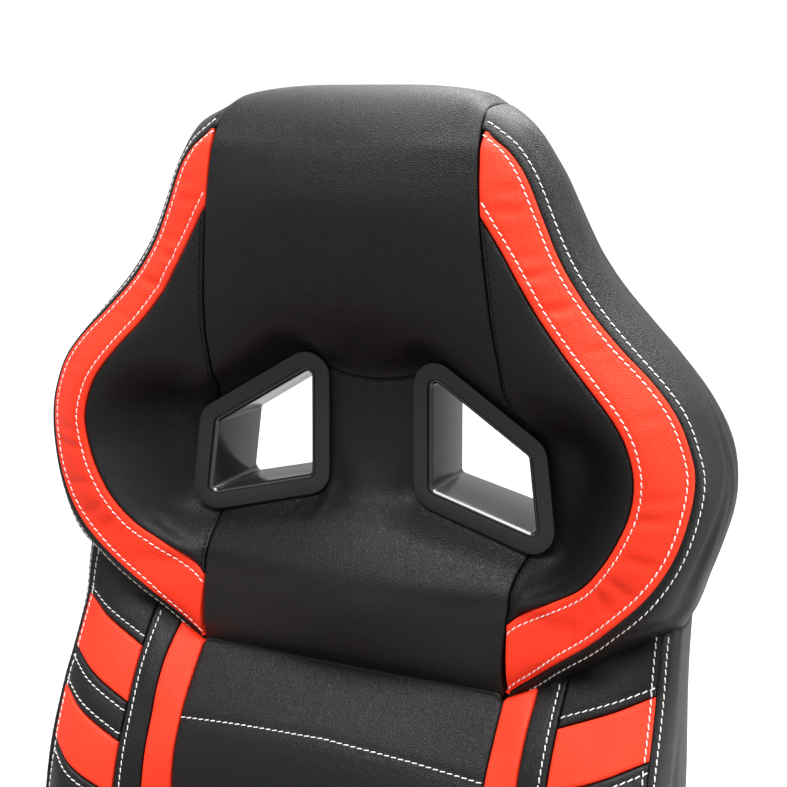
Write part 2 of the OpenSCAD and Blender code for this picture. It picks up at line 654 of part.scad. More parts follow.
module lower_rail_right() {
    color(zinc)
    translate([rail_x, 0, 0])
    difference() {
        bar_y(-rail_w / 2, rail_w / 2, rail_z, rail_z + rail_h, rail_len / 2);
        bar_y(-rail_w / 2 + rail_t, rail_w / 2 - rail_t, rail_z + rail_t, rail_z + rail_h - rail_t, rail_len);
        bar_y(-slot_w / 2, slot_w / 2, rail_z + rail_t, rail_z + rail_h + 1, rail_len);
        for (y = [-1, 1] * rail_bolt_y) translate([0, y, -1]) cylinder(r = 3.1, h = 10);
        for (i = [-8 : 7])
            translate([-slot_w / 2 - 4, latch_y + (i + 0.5) * notch_pitch - 3.2, rail_z + rail_h - rail_t - 1])
                cube([5, 6.4, rail_t + 2]);
    }
}
module lower_rail_left() { mirror([1, 0, 0]) lower_rail_right(); }
module rail_bolts() {
    color(zinc)
    each_side()
        for (y = [-1, 1] * rail_bolt_y)
            translate([rail_x, y, 0]) {
                cylinder(r = 3, h = rail_z + rail_t + 0.01);
                translate([0, 0, rail_z + rail_t]) cylinder(r = 5, h = 1.4);
            }
}
module rail_end_stops() {
    color(shell_black)
    each_side()
        for (s = [-1, 1])
            translate([rail_x - 10, s > 0 ? rail_len / 2 - 3.5 : -rail_len / 2, rail_z + rail_t])
                cube([20, 3.5, 4.4]);
}
module ball_cages() {
    hole_r = ball_r + 0.1;
    color("#d8d6cf")
    each_side()
    translate([rail_x, 0, 0])
    difference() {
        union() {
            bar_y(-14, 14, rail_z + 5.2, rail_z + 6.8, cage_half);
            for (s = [-1, 1])
                translate([s * 9.6, 0, 0]) bar_y(-4.4, 4.4, rail_z + 15.2, rail_z + 16.8, cage_half);
        }
        for (x = [-1, 1] * 9.5, y = ball_places)
            translate([x, y, 0]) cylinder(r = hole_r, h = 30);
    }
}
module rail_balls() {
    color(zinc)
    each_side()
        for (x = [-1, 1] * 9.5, y = ball_places, z = [rail_t + ball_r, rail_t + 3 * ball_r + flange_t])
            translate([rail_x + x, y, rail_z + z]) sphere(r = ball_r);
}
module upper_rail_right() {
    color(zinc)
    translate([rail_x, 0, 0])
    difference() {
        union() {
            bar_y(-flange_w / 2, flange_w / 2, flange_z, flange_z + flange_t, rail_len / 2);
            bar_y(-web_t / 2, web_t / 2, flange_z + 1, upper_z - 2, rail_len / 2);
            bar_y(-15, 15, upper_z - 4, upper_z, rail_len / 2);
        }
        for (y = foot_bolts) translate([0, y, upper_z - 12]) cylinder(r = 3.4, h = 20);
        rod_x(bar_y0, bar_z0, bar_pin_r + rod_play, -10, 10);
    }
}
module upper_rail_left() { mirror([1, 0, 0]) upper_rail_right(); }

// ---- slide lock: a pull bar at the front lifts two latches out of the rails' notches ----

bar_y0 = -60;
bar_z0 = 37;
bar_pin_r = 3;
bar_r = 6;
bar_front = -292;
latch_t = 2.4;
latch_pin_r = 2.5;
arm_x = rail_x - 17;
tube_x = arm_x - bar_r - 1;
module slide_latches() {
    color(zinc)
    each_side()
    translate([rail_x - web_t / 2 - 0.3 - latch_t, latch_y, 0])
    difference() {
        union() {
            translate([0, -24, rail_z + rail_h + 0.6]) cube([latch_t, 48, 16]);
            for (i = [-1 : 0])
                translate([-3.6, (i + 0.5) * notch_pitch - 2.7, rail_z + rail_h + 0.4])
                    cube([latch_t + 3.6, 5.4, 3]);
        }
        translate([-1, -3.5, bar_z0 - latch_pin_r - 0.1]) cube([latch_t + 2, 7, 2 * latch_pin_r + 0.2]);
    }
}
module slide_bar() {
    color(steel) {
        each_side() {
            rod_x(bar_y0, bar_z0, bar_pin_r, arm_x, rail_x + web_t / 2 + 3);
            rod_x(latch_y, bar_z0, latch_pin_r, arm_x, rail_x - web_t / 2 - 0.4);
            translate([arm_x - 3, latch_y - 20, bar_z0 - 7]) cube([3.4, bar_y0 - latch_y + 28, 14]);
            limb([tube_x, latch_y - 12, bar_z0], [tube_x, bar_front, bar_z0], bar_r);
        }
        rod_x(bar_front, bar_z0, bar_r, -tube_x, tube_x);
    }
}
module slide_bar_grip() {
    color(shell_black)
    difference() {
        rod_x(bar_front, bar_z0, bar_r + 4, -70, 70);
        rod_x(bar_front, bar_z0, bar_r, -71, 71);
    }
}
module bar_return_springs() {
    color(zinc)
    each_side()
        translate([arm_x + 3, bar_y0, bar_z0])
            rotate([0, 90, 0])
                for (i = [0 : 3])
                    translate([0, 0, i * 2.2])
                        rotate_extrude() translate([bar_pin_r + 2.2, 0]) circle(r = 1);
}

// ---- seat frame ----

side_x = 205;
side_t = 4;
side_top = 100;
foot_bolts = [-150, 130];
cross_tube_r = 11;
cross_tubes = [[-178, 88], [172, 88]];
spacer_places = [[150, 84], [232, 84]];
spacer_r = 10;
module seat_side_frame_right() {
    color(steel)
    difference() {
        union() {
            plate_x(side_x, side_t)
                polygon([[-196, upper_z], [248, upper_z], [248, side_top - 14], [236, side_top],
                    [-170, side_top], [-196, 76]]);
            translate([rail_x - 15, -190, upper_z]) cube([side_x - rail_x + 16, 380, 3]);
        }
        for (y = foot_bolts) translate([rail_x, y, upper_z - 2]) cylinder(r = 4.2, h = 10);
        for (p = spacer_places) rod_x(p[0], p[1], 4.2, 190, 220);
    }
}
module seat_side_frame_left() { mirror([1, 0, 0]) seat_side_frame_right(); }
module seat_cross_tubes() {
    color(steel)
        for (p = cross_tubes)
            rod_x(p[0], p[1], cross_tube_r, -side_x, side_x);
}
module seat_springs() {
    color(zinc)
        for (x = [-150, -50, 50, 150])
            translate([x, (cross_tubes[0][0] + cross_tubes[1][0]) / 2, cushion_base - 4])
                linear_extrude(4) rotate(90) polygon(zigzag(366, 16, 4, 10));
}
module seat_frame_bolts() {
    color(zinc)
    each_side()
        for (y = foot_bolts)
            translate([rail_x, y, upper_z - 4]) {
                cylinder(r = 3.3, h = 8);
                translate([0, 0, 7]) cylinder(r = 7, h = 5, $fn = 6);
            }
}

// ---- recliner ----

upper_bracket_x = 216;
upper_bracket_t = 5;
housing_x = upper_bracket_x + upper_bracket_t + 0.3;
lower_bracket_x = 235;
lower_bracket_t = 5;
ring_in = 30;
ring_t = 6;
guide_r = ring_in - 0.4;
pawl_half = 11;
pawl_in = 12;
pawl_out = guide_r;
pawl_travel = 3;
module at_pivot() {
    translate([0, pivot_y, pivot_z]) children();
}
module upper_bracket_right() {
    color(steel)
    in_back()
    difference() {
        plate_x(upper_bracket_x, upper_bracket_t)
            hull() {
                translate([back_pivot_y, -waist_h]) circle(r = disc_r + 3);
                for (z = bracket_bolt_z) translate([frame_y, z - waist_h]) circle(r = 20);
            }
        rod_x(back_pivot_y, -waist_h, 14, 200, 230);
        for (z = bracket_bolt_z) rod_x(frame_y, z - waist_h, 4.2, 200, 230);
    }
}
module upper_bracket_left() { mirror([1, 0, 0]) upper_bracket_right(); }
module bracket_bolts() {
    color(zinc)
    in_back()
    each_side()
        for (z = bracket_bolt_z)
            translate([0, frame_y, z - waist_h])
                rotate([0, 90, 0]) {
                    translate([0, 0, 198]) cylinder(r = 3.9, h = upper_bracket_x + upper_bracket_t - 198);
                    translate([0, 0, upper_bracket_x + upper_bracket_t]) cylinder(r = 7.5, h = 6, $fn = 6);
                }
}
module recliner_rings() {
    color(zinc)
    in_back()
    each_side()
    difference() {
        rod_x(back_pivot_y, -waist_h, disc_r - 2, housing_x - 0.3, housing_x + ring_t);
        rod_x(back_pivot_y, -waist_h, ring_in, housing_x - 1, housing_x + ring_t + 1);
    }
}
// Guides for the pawls stand inside the ring, on a disc fixed to the lower bracket
module recliner_housings() {
    color(steel)
    at_pivot()
    each_side()
    difference() {
        union() {
            rod_x(0, 0, disc_r, housing_x + ring_t + 0.4, lower_bracket_x);
            rod_x(0, 0, guide_r, housing_x + 0.3, housing_x + ring_t + 0.5);
        }
        translate([housing_x, -pawl_half - 0.3, -guide_r - 2])
            cube([ring_t + 0.4, 2 * pawl_half + 0.6, 2 * guide_r + 4]);
        rod_x(0, 0, 13, housing_x, housing_x + ring_t + 0.4);
        rod_x(0, 0, rod_r + rod_play, 200, 250);
    }
}
module pawls(s) {
    color(zinc)
    at_pivot()
    each_side()
    intersection() {
        plate_x(housing_x + 0.6, ring_t - 0.5)
            polygon([[-s * pawl_half, s * pawl_in], [-s * 2, s * pawl_in], [-s * 2, s * (pawl_in + 3.5)],
                [s * pawl_half, s * (pawl_in + 3.5)], [s * pawl_half, s * 40], [-s * pawl_half, s * 40]]);
        rod_x(0, 0, pawl_out, 200, 250);
    }
}
module recliner_pawls_upper() { pawls(1); }
module recliner_pawls_lower() { pawls(-1); }
// The cams are keyed to the rod, with one lobe for each pawl
module sync_rod() {
    color(zinc)
    at_pivot() {
        rod_x(0, 0, rod_r, -lower_bracket_x - lower_bracket_t - 6, lever_x + lever_t);
        each_side() {
            rod_x(0, 0, 8, housing_x + 0.6, housing_x + ring_t);
            translate([housing_x + 0.6, -3.5, -10.2]) cube([ring_t - 0.6, 7, 20.4]);
        }
    }
}
// A flat spiral that turns the backrest forward when it is released
function spiral(r0, pitch, turns, wire) =
    let (
        m = turns * 24,
        ring = function (k, off) (r0 + pitch * k / 24 + off) * [cos(360 * k / 24), sin(360 * k / 24)]
    )
    concat([for (k = [0 : m]) ring(k, 0)], [for (k = [m : -1 : 0]) ring(k, wire)]);
module recliner_springs() {
    color(steel)
    in_back()
    each_side()
        translate([0, back_pivot_y, -waist_h])
            plate_x(207, 7) polygon(spiral(12, 4.4, 5, 2));
}
module lower_bracket_right() {
    color(steel)
    difference() {
        union() {
            plate_x(lower_bracket_x, lower_bracket_t)
                hull() {
                    translate([pivot_y, pivot_z]) circle(r = disc_r + 2);
                    translate(spacer_places[0]) circle(r = 18);
                    translate(spacer_places[1]) circle(r = 18);
                }
            for (p = spacer_places) rod_x(p[0], p[1], spacer_r, side_x + side_t, lower_bracket_x + 1);
        }
        rod_x(pivot_y, pivot_z, rod_r + rod_play, 230, 250);
        for (p = spacer_places) rod_x(p[0], p[1], 4.2, 200, 250);
    }
}
module lower_bracket_left() { mirror([1, 0, 0]) lower_bracket_right(); }

cover_x = lower_bracket_x + lower_bracket_t + 0.5;
cover_depth = 14;
cover_wall = 2.5;
module cover_outline(grow) {
    hull() {
        translate([pivot_y, pivot_z]) circle(r = 56 + grow);
        translate([214, 92]) circle(r = 40 + grow);
        translate([40, 84]) circle(r = 26 + grow);
        translate([-120, 80]) circle(r = 20 + grow);
    }
}
module side_cover_right() {
    color(shell_black)
    difference() {
        plate_x(cover_x, cover_depth) cover_outline(0);
        plate_x(cover_x - 1, cover_depth - cover_wall + 1) cover_outline(-cover_wall);
        rod_x(pivot_y, pivot_z, rod_r + 4, 200, 300);
    }
}
module side_cover_left() { mirror([1, 0, 0]) side_cover_right(); }

lever_x = cover_x + cover_depth + 3.5;
lever_t = 8;
lever_tip = [-165, -22];
module recline_lever() {
    color(shell_black)
    at_pivot()
    difference() {
        plate_x(lever_x, lever_t) {
            circle(r = 16);
            hull() {
                circle(r = 11);
                translate(lever_tip * 0.45) circle(r = 8);
            }
            hull() {
                translate(lever_tip * 0.45) circle(r = 8);
                translate(lever_tip * 0.6) circle(r = 7);
            }
        }
        rod_x(0, 0, rod_r, 200, 300);
    }
}
module lever_grip() {
    color(shell_black)
    at_pivot()
    difference() {
        plate_x(lever_x - 2.5, lever_t + 5)
            hull() {
                translate(lever_tip * 0.5) circle(r = 10);
                translate(lever_tip) circle(r = 12);
            }
        plate_x(lever_x, lever_t)
            hull() {
                translate(lever_tip * 0.45) circle(r = 8);
                translate(lever_tip * 0.6) circle(r = 7);
            }
    }
}

floor_crossbars();
lower_rail_left();
lower_rail_right();
rail_bolts();
rail_end_stops();
ball_cages();
rail_balls();
upper_rail_left();
upper_rail_right();
seat_side_frame_left();
seat_side_frame_right();
seat_cross_tubes();
seat_springs();
seat_frame_bolts();
seat_foam();
seat_centre_panel();
seat_stripe_left();
seat_stripe_right();
seat_bolster_left();
seat_bolster_right();
side_cover_left();
side_cover_right();
lower_bracket_left();
lower_bracket_right();
recliner_housings();
recliner_pawls_upper();
recliner_pawls_lower();
sync_rod();
recline_lever();
lever_grip();
slide_bar();
slide_bar_grip();
slide_latches();
bar_return_springs();
upper_bracket_left();
upper_bracket_right();
recliner_rings();
recliner_springs();
bracket_bolts();
back_frame();
back_springs();
back_foam_upper();
back_foam_lower();
head_panel();
flank_panel_left();
flank_panel_right();
red_band_left();
red_band_right();
side_boxing_left();
side_boxing_right();
lower_centre_panel();
lower_stripe_left();
lower_stripe_right();
back_bolster_left();
back_bolster_right();
back_panel();
bezel_left();
bezel_right();
rear_bezels();
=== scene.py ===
import json
import math
import bmesh
import bpy
import numpy as np
from mathutils import Matrix, Vector
from mathutils.bvhtree import BVHTree


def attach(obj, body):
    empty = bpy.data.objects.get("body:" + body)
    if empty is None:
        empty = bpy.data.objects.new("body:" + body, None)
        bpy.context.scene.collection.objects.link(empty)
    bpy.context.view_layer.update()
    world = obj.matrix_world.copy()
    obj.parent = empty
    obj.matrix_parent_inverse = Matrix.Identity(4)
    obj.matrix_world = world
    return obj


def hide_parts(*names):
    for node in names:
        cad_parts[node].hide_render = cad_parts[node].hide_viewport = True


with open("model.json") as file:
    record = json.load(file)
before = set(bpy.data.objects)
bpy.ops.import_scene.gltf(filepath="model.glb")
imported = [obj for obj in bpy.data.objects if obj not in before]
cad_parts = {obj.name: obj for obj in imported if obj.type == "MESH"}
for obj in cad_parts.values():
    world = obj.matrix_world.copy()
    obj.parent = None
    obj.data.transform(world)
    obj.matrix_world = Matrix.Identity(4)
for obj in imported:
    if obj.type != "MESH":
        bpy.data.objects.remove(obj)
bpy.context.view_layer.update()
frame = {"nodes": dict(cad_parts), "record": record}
nodes = frame["nodes"]
print("frame loaded,", len(nodes), "nodes")

# The backrest's own frame is in millimetres, with the waist seam at z 0, +Z up the back and -Y forward
back = {"lean": math.radians(8), "pivotY": 225, "pivotZ": 165, "ownPivotY": 45, "waist": 430,
        "headTop": 404.4, "rollStart": 372, "rollY": 40, "rollLeast": 0.0004}
# The flanks begin at a height, fade in over a width, and have their middle line at a share of the way across
front = {"flankFoot": 51, "flankFade": 26, "flankMiddle": 0.45, "thinnest": 3}
# Columns of the lower front: both edges of the red stripe, the outer edge of the trim, and the bolster's edge
lower = {"stripeIn": 120, "stripeOut": 143, "trimOut": 164, "edge": 228, "crestIn": 26,
         "centreHalf": 118, "centreTop": 3, "tuckUnder": 1, "stripeRise": 7}
# Places near a seam, close together where the leather turns in, for a panel of at least a width
seamRows = {"play": 0.25, "places": [0, 0.5, 1.2, 2.2, 3.5, 5.2, 7.4], "fullWidth": 22}
# How creases wander and fall off, how leather puckers beside a seam, and how panels are joined
crease = {"wander": 0.12, "waves": 3, "ridge": 1.15, "fall": 0.8, "seamClear": 9}
pucker = {"across": 1.9, "sway": 2.2, "swayLength": 7.3, "along": 3.1, "shift": 1.3, "reach": 7}
sewing = {"merge": 0.00002, "sliver": 0.00001, "bezelCut": -5}
# The left, right, bottom and top border of a grid of points
borders = {"l": np.s_[:, 0], "r": np.s_[:, -1], "b": np.s_[0], "t": np.s_[-1]}


def backToWorld(p):
    y, z = p[..., 1] - back["ownPivotY"], p[..., 2] + back["waist"]
    c, s = math.cos(back["lean"]), math.sin(back["lean"])
    return np.stack([p[..., 0], back["pivotY"] + y * c + z * s, back["pivotZ"] - y * s + z * c], -1) / 1000


def seatToWorld(p):
    return p / 1000


# Stations [height, half width, depth] of the lines that divide the front
seamLine = [[-2, 120, 3], [20, 119, -2], [50, 119.5, 2], [62, 120.3, 5.2], [72, 119.8, 8.4], [84, 121.4, 19.7],
            [96, 124.6, 30], [112, 125, 35.5], [140, 124.5, 38], [160, 125, 35], [174, 124.6, 30], [184, 120.5, 22],
            [192, 116.8, 15], [200, 114.2, 10.4], [210, 112.3, 6.1], [222, 111.8, 2], [235, 110.8, -2.2],
            [250, 109.2, -5.5], [262, 108, -7.8], [323, 102, -12], [365, 99, -7], [380, 98, 0], [388, 90, 0],
            [394, 80, 0], [400, 62, 0], [403, 38, 0], [404.4, 14, 0]]
centreLine = [[-2, 6], [14, -6], [45, -13], [70, -8], [84, 0], [96, 10], [108, 21], [120, 31], [135, 38.5], [150, 42],
              [165, 43.5], [185, 44], [205, 41], [218, 32], [232, 20], [248, 7], [265, -4], [285, -12], [300, -15.5],
              [330, -19], [355, -15], [372, -9], [380, -5]]
flankLine = [[51, 1], [66, 0], [76, 6], [88, 24], [100, 34], [130, 35], [160, 33], [178, 24],
             [195, 8], [215, -5], [262, -9], [323, -12]]
bandInner = [[51, 119.5, 1], [58, 126.5, 1], [65, 137.5, -1], [74, 151.5, -4], [88, 172.5, -9], [105, 187, -14],
             [124, 198, -16], [145, 206, -16], [166, 208, -17], [186, 203, -17], [202, 194, -17],
             [224, 175, -15], [243, 157, -11], [264, 140, -9], [283, 128, -10], [303, 116, -11], [323, 103, -12]]
bandOuter = [[-2, 121, 3], [5, 126, 3], [19, 143, -1], [36, 162, -9], [54, 184, -14], [74, 204, -18],
             [93, 221, -17], [117, 235, -13], [145, 243, -9], [170, 245, -6], [190, 240, -6], [209, 231, -6],
             [227, 216, -5], [248, 193, -4], [271, 171, -1], [297, 153, 0], [325, 140, 0], [350, 129, -1],
             [365, 118, -1], [372, 109, -1], [380, 99, 0], [388, 91, 0], [394, 81, 0], [400, 63, 0],
             [403, 39, 0], [404.4, 15, 0]]
# Rear edge of the cover [height, half width, depth], and the depth along the middle
rearLine = [[-385, 198, 84], [-290, 205, 84], [-225, 217, 84], [-150, 225, 84], [-80, 228, 84],
            [56, 227, 82], [100, 238.6, 82], [135, 251.5, 82], [160, 252.3, 82], [183, 246.3, 82], [207, 231.8, 83],
            [231, 211.3, 84], [254, 189.3, 84], [275, 169.9, 84], [295, 155.1, 84], [311, 146.4, 83],
            [331, 136.4, 82], [350, 125.5, 82], [375, 106, 80], [393, 92, 76], [400, 74, 72], [404.4, 16, 62]]
rearMiddle = [[-385, 88], [-200, 89], [0, 91], [80, 93.6], [240, 93.6], [300, 92], [372, 88]]
# Lower front: bottom [half width, height], then [height, depth] at each dividing line
lowerEnd = [[0, -405], [143, -403], [200, -388], [234, -385]]
lowerCentre = [[-405, -14], [-380, -24], [-330, -36], [-260, -46], [-180, -52], [-110, -51], [-75, -47],
               [-44, -36], [-20, -15], [-2, 6]]
lowerSeam = [[-405, -16], [-380, -26], [-330, -38], [-260, -47], [-180, -51], [-110, -50], [-75, -46],
             [-44, -33], [-21, -17], [0, 0]]
lowerStripe = [[-405, -20], [-380, -32], [-260, -58], [-180, -62], [-110, -56], [-75, -49], [-46, -37],
               [-31, -31], [-12, -19], [2, -5], [12, 8]]
lowerBlack = [[-405, -28], [-380, -40], [-260, -72], [-180, -76], [-110, -63], [-75, -53], [-46, -40],
              [-22, -28], [-4, -16], [15, -1], [26, 12]]
lowerCrest = [[-385, -54], [-300, -84], [-220, -92], [-150, -82], [-90, -62], [-46, -42],
              [-10, -22], [20, -6], [40, 5], [52, 16]]
lowerEdge = [[-385, 200, -36], [-290, 208, -60], [-220, 219, -68], [-150, 227, -62], [-90, 228, -49],
             [-40, 228, -29], [-22, 227, -20], [0, 226, -9], [20, 225, 0], [54, 224, 8], [66, 223, 18]]
lowerSide = [[-385, 205, 15], [-330, 209, 15], [-290, 212, 15], [-225, 224, 15], [-150, 233, 15],
             [-80, 236, 15], [-20, 234, 20], [56, 234, 24]]
wingUnder = [[118, -3], [138, 1], [161, 13], [188, 29], [215, 47], [235, 58]]
# Harness bezel: outline corners, plate [depth, slope], corner radius, flange, and the hollow round it
bezel = {"corners": [[33, 233], [34, 116], [147, 88], [136, 170]], "plate": (44, -0.11), "radius": 18,
         "flange": 3.5, "clearance": 0.5, "dentSlope": 2.4, "dentStart": 5, "dentCentre": 10, "dentRound": 5,
         "bandClear": 20}


def hermite(keys, values, p):
    # A smooth curve through each row's own stations, held past both ends
    keys, values, p = (np.asarray(a, float) for a in (keys, values, p))
    p = np.clip(p, keys[:, 0], keys[:, -1])
    last = keys.shape[1] - 1
    i = np.clip((p[:, None] >= keys).sum(1) - 1, 0, last - 1)
    row = np.arange(len(p))

    def slope(j):
        a, b = np.maximum(j - 1, 0), np.minimum(j + 1, last)
        return (values[row, b] - values[row, a]) / (keys[row, b] - keys[row, a])

    h = keys[row, i + 1] - keys[row, i]
    u = (p - keys[row, i]) / h
    v = 1 - u
    return (values[row, i] * (1 + 2 * u) * v * v + slope(i) * h * u * v * v
            + values[row, i + 1] * u * u * (3 - 2 * u) - slope(i + 1) * h * u * u * v)


def curve(table, p, column=1):
    table, p = np.asarray(table, float), np.atleast_1d(np.asarray(p, float))
    shape = (len(p), len(table))
    return hermite(np.broadcast_to(table[:, 0], shape), np.broadcast_to(table[:, column], shape), p)


def stacked(x, y, z):
    return np.stack([x, y, z], 1)


def mix(a, b, u):
    return a + (b - a) * u


def eased(u):
    u = np.clip(u, 0, 1)
    return u * u * (3 - 2 * u)


def roll(z):
    t = (z - back["rollStart"]) / (back["headTop"] - back["rollStart"])
    return np.where(z < back["rollStart"], 1, np.sqrt(np.maximum(back["rollLeast"], 1 - t * t)))


def bezelCentres():
    # Centres of the outline's corner arcs, and half of each corner's angle
    corners, out = [np.array(c, float) for c in bezel["corners"]], []
    for k in range(4):
        a, b, c = corners[k - 1], corners[k], corners[(k + 1) % 4]
        u, v = (a - b) / np.linalg.norm(a - b), (c - b) / np.linalg.norm(c - b)
        half = math.acos(float(np.clip(u @ v, -1, 1))) / 2
        out.append((b + (u + v) / np.linalg.norm(u + v) * bezel["radius"] / math.sin(half), u, v, half))
    return out


def bezelDistance(x, z):
    # Distance outside the bezel's rounded outline, negative inside it
    x, z = np.asarray(x, float), np.asarray(z, float)
    centres = [c[0] for c in bezelCentres()]
    near, inside = np.full(x.shape, 1e9), np.ones(x.shape, bool)
    for a, b in zip(centres, centres[1:] + centres[:1]):
        e = b - a
        u = np.clip(((x - a[0]) * e[0] + (z - a[1]) * e[1]) / (e @ e), 0, 1)
        near = np.minimum(near, np.hypot(x - a[0] - u * e[0], z - a[1] - u * e[1]))
        inside &= e[1] * (x - a[0]) - e[0] * (z - a[1]) < 0
    return np.where(inside, -near, near) - bezel["radius"]


def acrossFront(x, s, sy, c, rest):
    # Depth across the front at one height, from the centre to the outer edge
    keys, values = [-s, 0 * s, s], [sy, c, sy]
    for key, value in rest:
        keys.append(key)
        values.append(value)
    return hermite(np.stack(keys, 1), np.stack(values, 1), x)


def upperFront(x, z):
    x, z = np.abs(np.ravel(x).astype(float)), np.ravel(z).astype(float)
    s, sy = curve(seamLine, z), curve(seamLine, z, 2)
    i, iy = curve(bandInner, z), curve(bandInner, z, 2)
    o, oy = curve(bandOuter, z), curve(bandOuter, z, 2)
    c, m = curve(centreLine, z), curve(flankLine, z)
    plain, flank = acrossFront(x, s, sy, c, []), np.zeros(len(x))
    wide = o - s > front["thinnest"] + 1
    if wide.any():
        plain[wide] = acrossFront(x[wide], s[wide], sy[wide], c[wide], [(o[wide], oy[wide])])
    apart = np.maximum(i, s + front["thinnest"])
    for w in (False, True):
        k = (o - apart > front["thinnest"]) == w
        if k.any():
            rest = [(mix(s[k], apart[k], front["flankMiddle"]), m[k]), (apart[k], iy[k])]
            flank[k] = acrossFront(x[k], s[k], sy[k], c[k], rest + ([(o[k], oy[k])] if w else []))
    y = mix(plain, flank, eased(np.where(z > front["flankFoot"], (i - s) / front["flankFade"], 0)))
    # The hollow that the bezels sit in starts softly, and leaves the red band alone
    first = bezel["corners"][0][0]
    w, free = np.maximum(x, first), 1 - np.minimum(1, x / first) ** 2
    away = np.hypot(np.maximum(0, bezelDistance(w, z)), bezel["dentStart"]) - bezel["dentStart"]
    dent = (bezel["plate"][0] + bezel["plate"][1] * w + bezel["flange"] + bezel["clearance"] - bezel["dentSlope"] * away
            - bezel["dentCentre"] * free * free)
    hollow = (y + dent + np.sqrt((y - dent) ** 2 + bezel["dentRound"] ** 2)) / 2
    y = mix(hollow, y, eased(np.where(z > front["flankFoot"] + 1, 1 - (i - x) / bezel["bandClear"], 0)))
    return back["rollY"] + (y - back["rollY"]) * roll(z)


def lowerTop(x):
    # The panels tuck under the wings, and the stripe rises on its way out
    rise = np.clip((np.abs(x) - lower["stripeIn"]) / (lower["stripeOut"] - lower["stripeIn"]), 0, 1)
    top = curve(wingUnder, np.abs(x)) + (lower["tuckUnder"] + lower["stripeRise"] * rise)
    return np.where(np.abs(x) <= lower["centreHalf"], lower["centreTop"], top)


def lowerFront(x, z):
    x, z = np.abs(np.ravel(x).astype(float)), np.ravel(z).astype(float)
    e, one = curve(lowerEdge, z), np.ones(len(x))
    columns = (-lower["stripeIn"], 0, lower["stripeIn"], lower["stripeOut"], lower["trimOut"])
    keys = [column * one for column in columns] + [e - lower["crestIn"], e]
    values = [curve(t, z) for t in (lowerSeam, lowerCentre, lowerSeam, lowerStripe, lowerBlack, lowerCrest)]
    return hermite(np.stack(keys, 1), np.stack(values + [curve(lowerEdge, z, 2)], 1), x)


def drawnIn(x, z):
    # The outer columns follow the edge line as it draws in towards the bottom
    first, e = lower["trimOut"], curve(lowerEdge, z)
    drawn = first + (np.abs(x) - first) * (e - first) / (lower["edge"] - first)
    return np.where(np.abs(x) <= first, x, np.sign(x) * drawn)


def arcLength(points):
    return np.concatenate([[0], np.cumsum(np.linalg.norm(np.diff(points, axis=0), axis=1))])


def spread(length, count, play):
    # Places along a length, closer together near both ends
    fine = play + np.array(seamRows["places"]) * min(1, length / seamRows["fullWidth"])
    middle = np.linspace(fine[-1], length - fine[-1], count + 2)[1:-1]
    return np.concatenate([fine, middle, length - fine[::-1]])


def layOut(at, step=3.5, closer=()):
    # A grid of points over a surface at(s, t), even in real length both ways, with closer rows where asked for
    probe, play = np.linspace(0, 1, 121), seamRows["play"]
    reach = arcLength(at(np.full(len(probe), 0.5), probe))
    count = max(2, int(reach[-1] / step) - 4)
    rows = np.sort(np.concatenate([np.interp(spread(reach[-1], count, play), reach, probe), closer]))
    s, t = np.meshgrid(probe, rows)
    probes = at(s.ravel(), t.ravel()).reshape(len(rows), len(probe), 3)
    lengths = [arcLength(p) for p in probes]
    count = max(2, int(max(r[-1] for r in lengths) / step) - 4)
    s = np.array([np.interp(spread(r[-1], count, min(play, r[-1] / 4)), r, probe) for r in lengths])
    t = np.repeat(rows[:, None], s.shape[1], 1)
    return at(s.ravel(), t.ravel()).reshape(s.shape + (3,))


def gridNormals(grid):
    n = np.cross(np.gradient(grid, axis=1), np.gradient(grid, axis=0))
    size = np.linalg.norm(n, axis=2, keepdims=True)
    return np.where(size > 1e-6, n / np.maximum(size, 1e-6), np.array([0.0, -1.0, 0.0]))


def distanceTo(points, line):
    # Distance from each point to a polyline
    a, d = line[:-1], np.diff(line, axis=0)
    dd = np.maximum((d * d).sum(1), 1e-9)
    out = np.empty(len(points))
    chunk = 1500    # points at a time, to save memory
    for k in range(0, len(points), chunk):
        v = points[k:k + chunk, None] - a[None]
        u = np.clip((v * d[None]).sum(2) / dd[None], 0, 1)
        out[k:k + chunk] = np.sqrt(((v - u[..., None] * d[None]) ** 2).sum(2).min(1))
    return out


def insetLine(grid, side, distance):
    # The line that runs at a distance inside one border of a grid
    strips = grid if side in "lr" else grid.transpose(1, 0, 2)
    if side in "rt":
        strips = strips[:, ::-1]
    out = []
    for p in strips:
        reach = arcLength(p)
        out.append([np.interp(distance, reach, p[:, k]) for k in range(3)])
    return np.array(out)


def foldLift(grid, n, across, along, folds):
    # Soft creases [across, along, angle, length, width, depth], the angle turned from the panel's rows
    lift = np.zeros(across.shape)
    for a, l, angle, length, width, depth in folds:
        i, j = np.unravel_index(np.argmin((across - a) ** 2 + (along - l) ** 2), across.shape)
        j = min(max(j, 1), across.shape[1] - 2)
        row = grid[i, j + 1] - grid[i, j - 1]
        row /= np.linalg.norm(row)
        up = np.cross(n[i, j], row)
        c, s = math.cos(math.radians(angle)), math.sin(math.radians(angle))
        p, q = (grid - grid[i, j]) @ (c * row + s * up), (grid - grid[i, j]) @ (c * up - s * row)
        q = (q + crease["wander"] * width * np.sin(p / length * crease["waves"])) / width
        lift -= depth * np.exp(-(p / length) ** 2) * (crease["ridge"] - q ** 2) * np.exp(-crease["fall"] * q ** 2)
    return lift


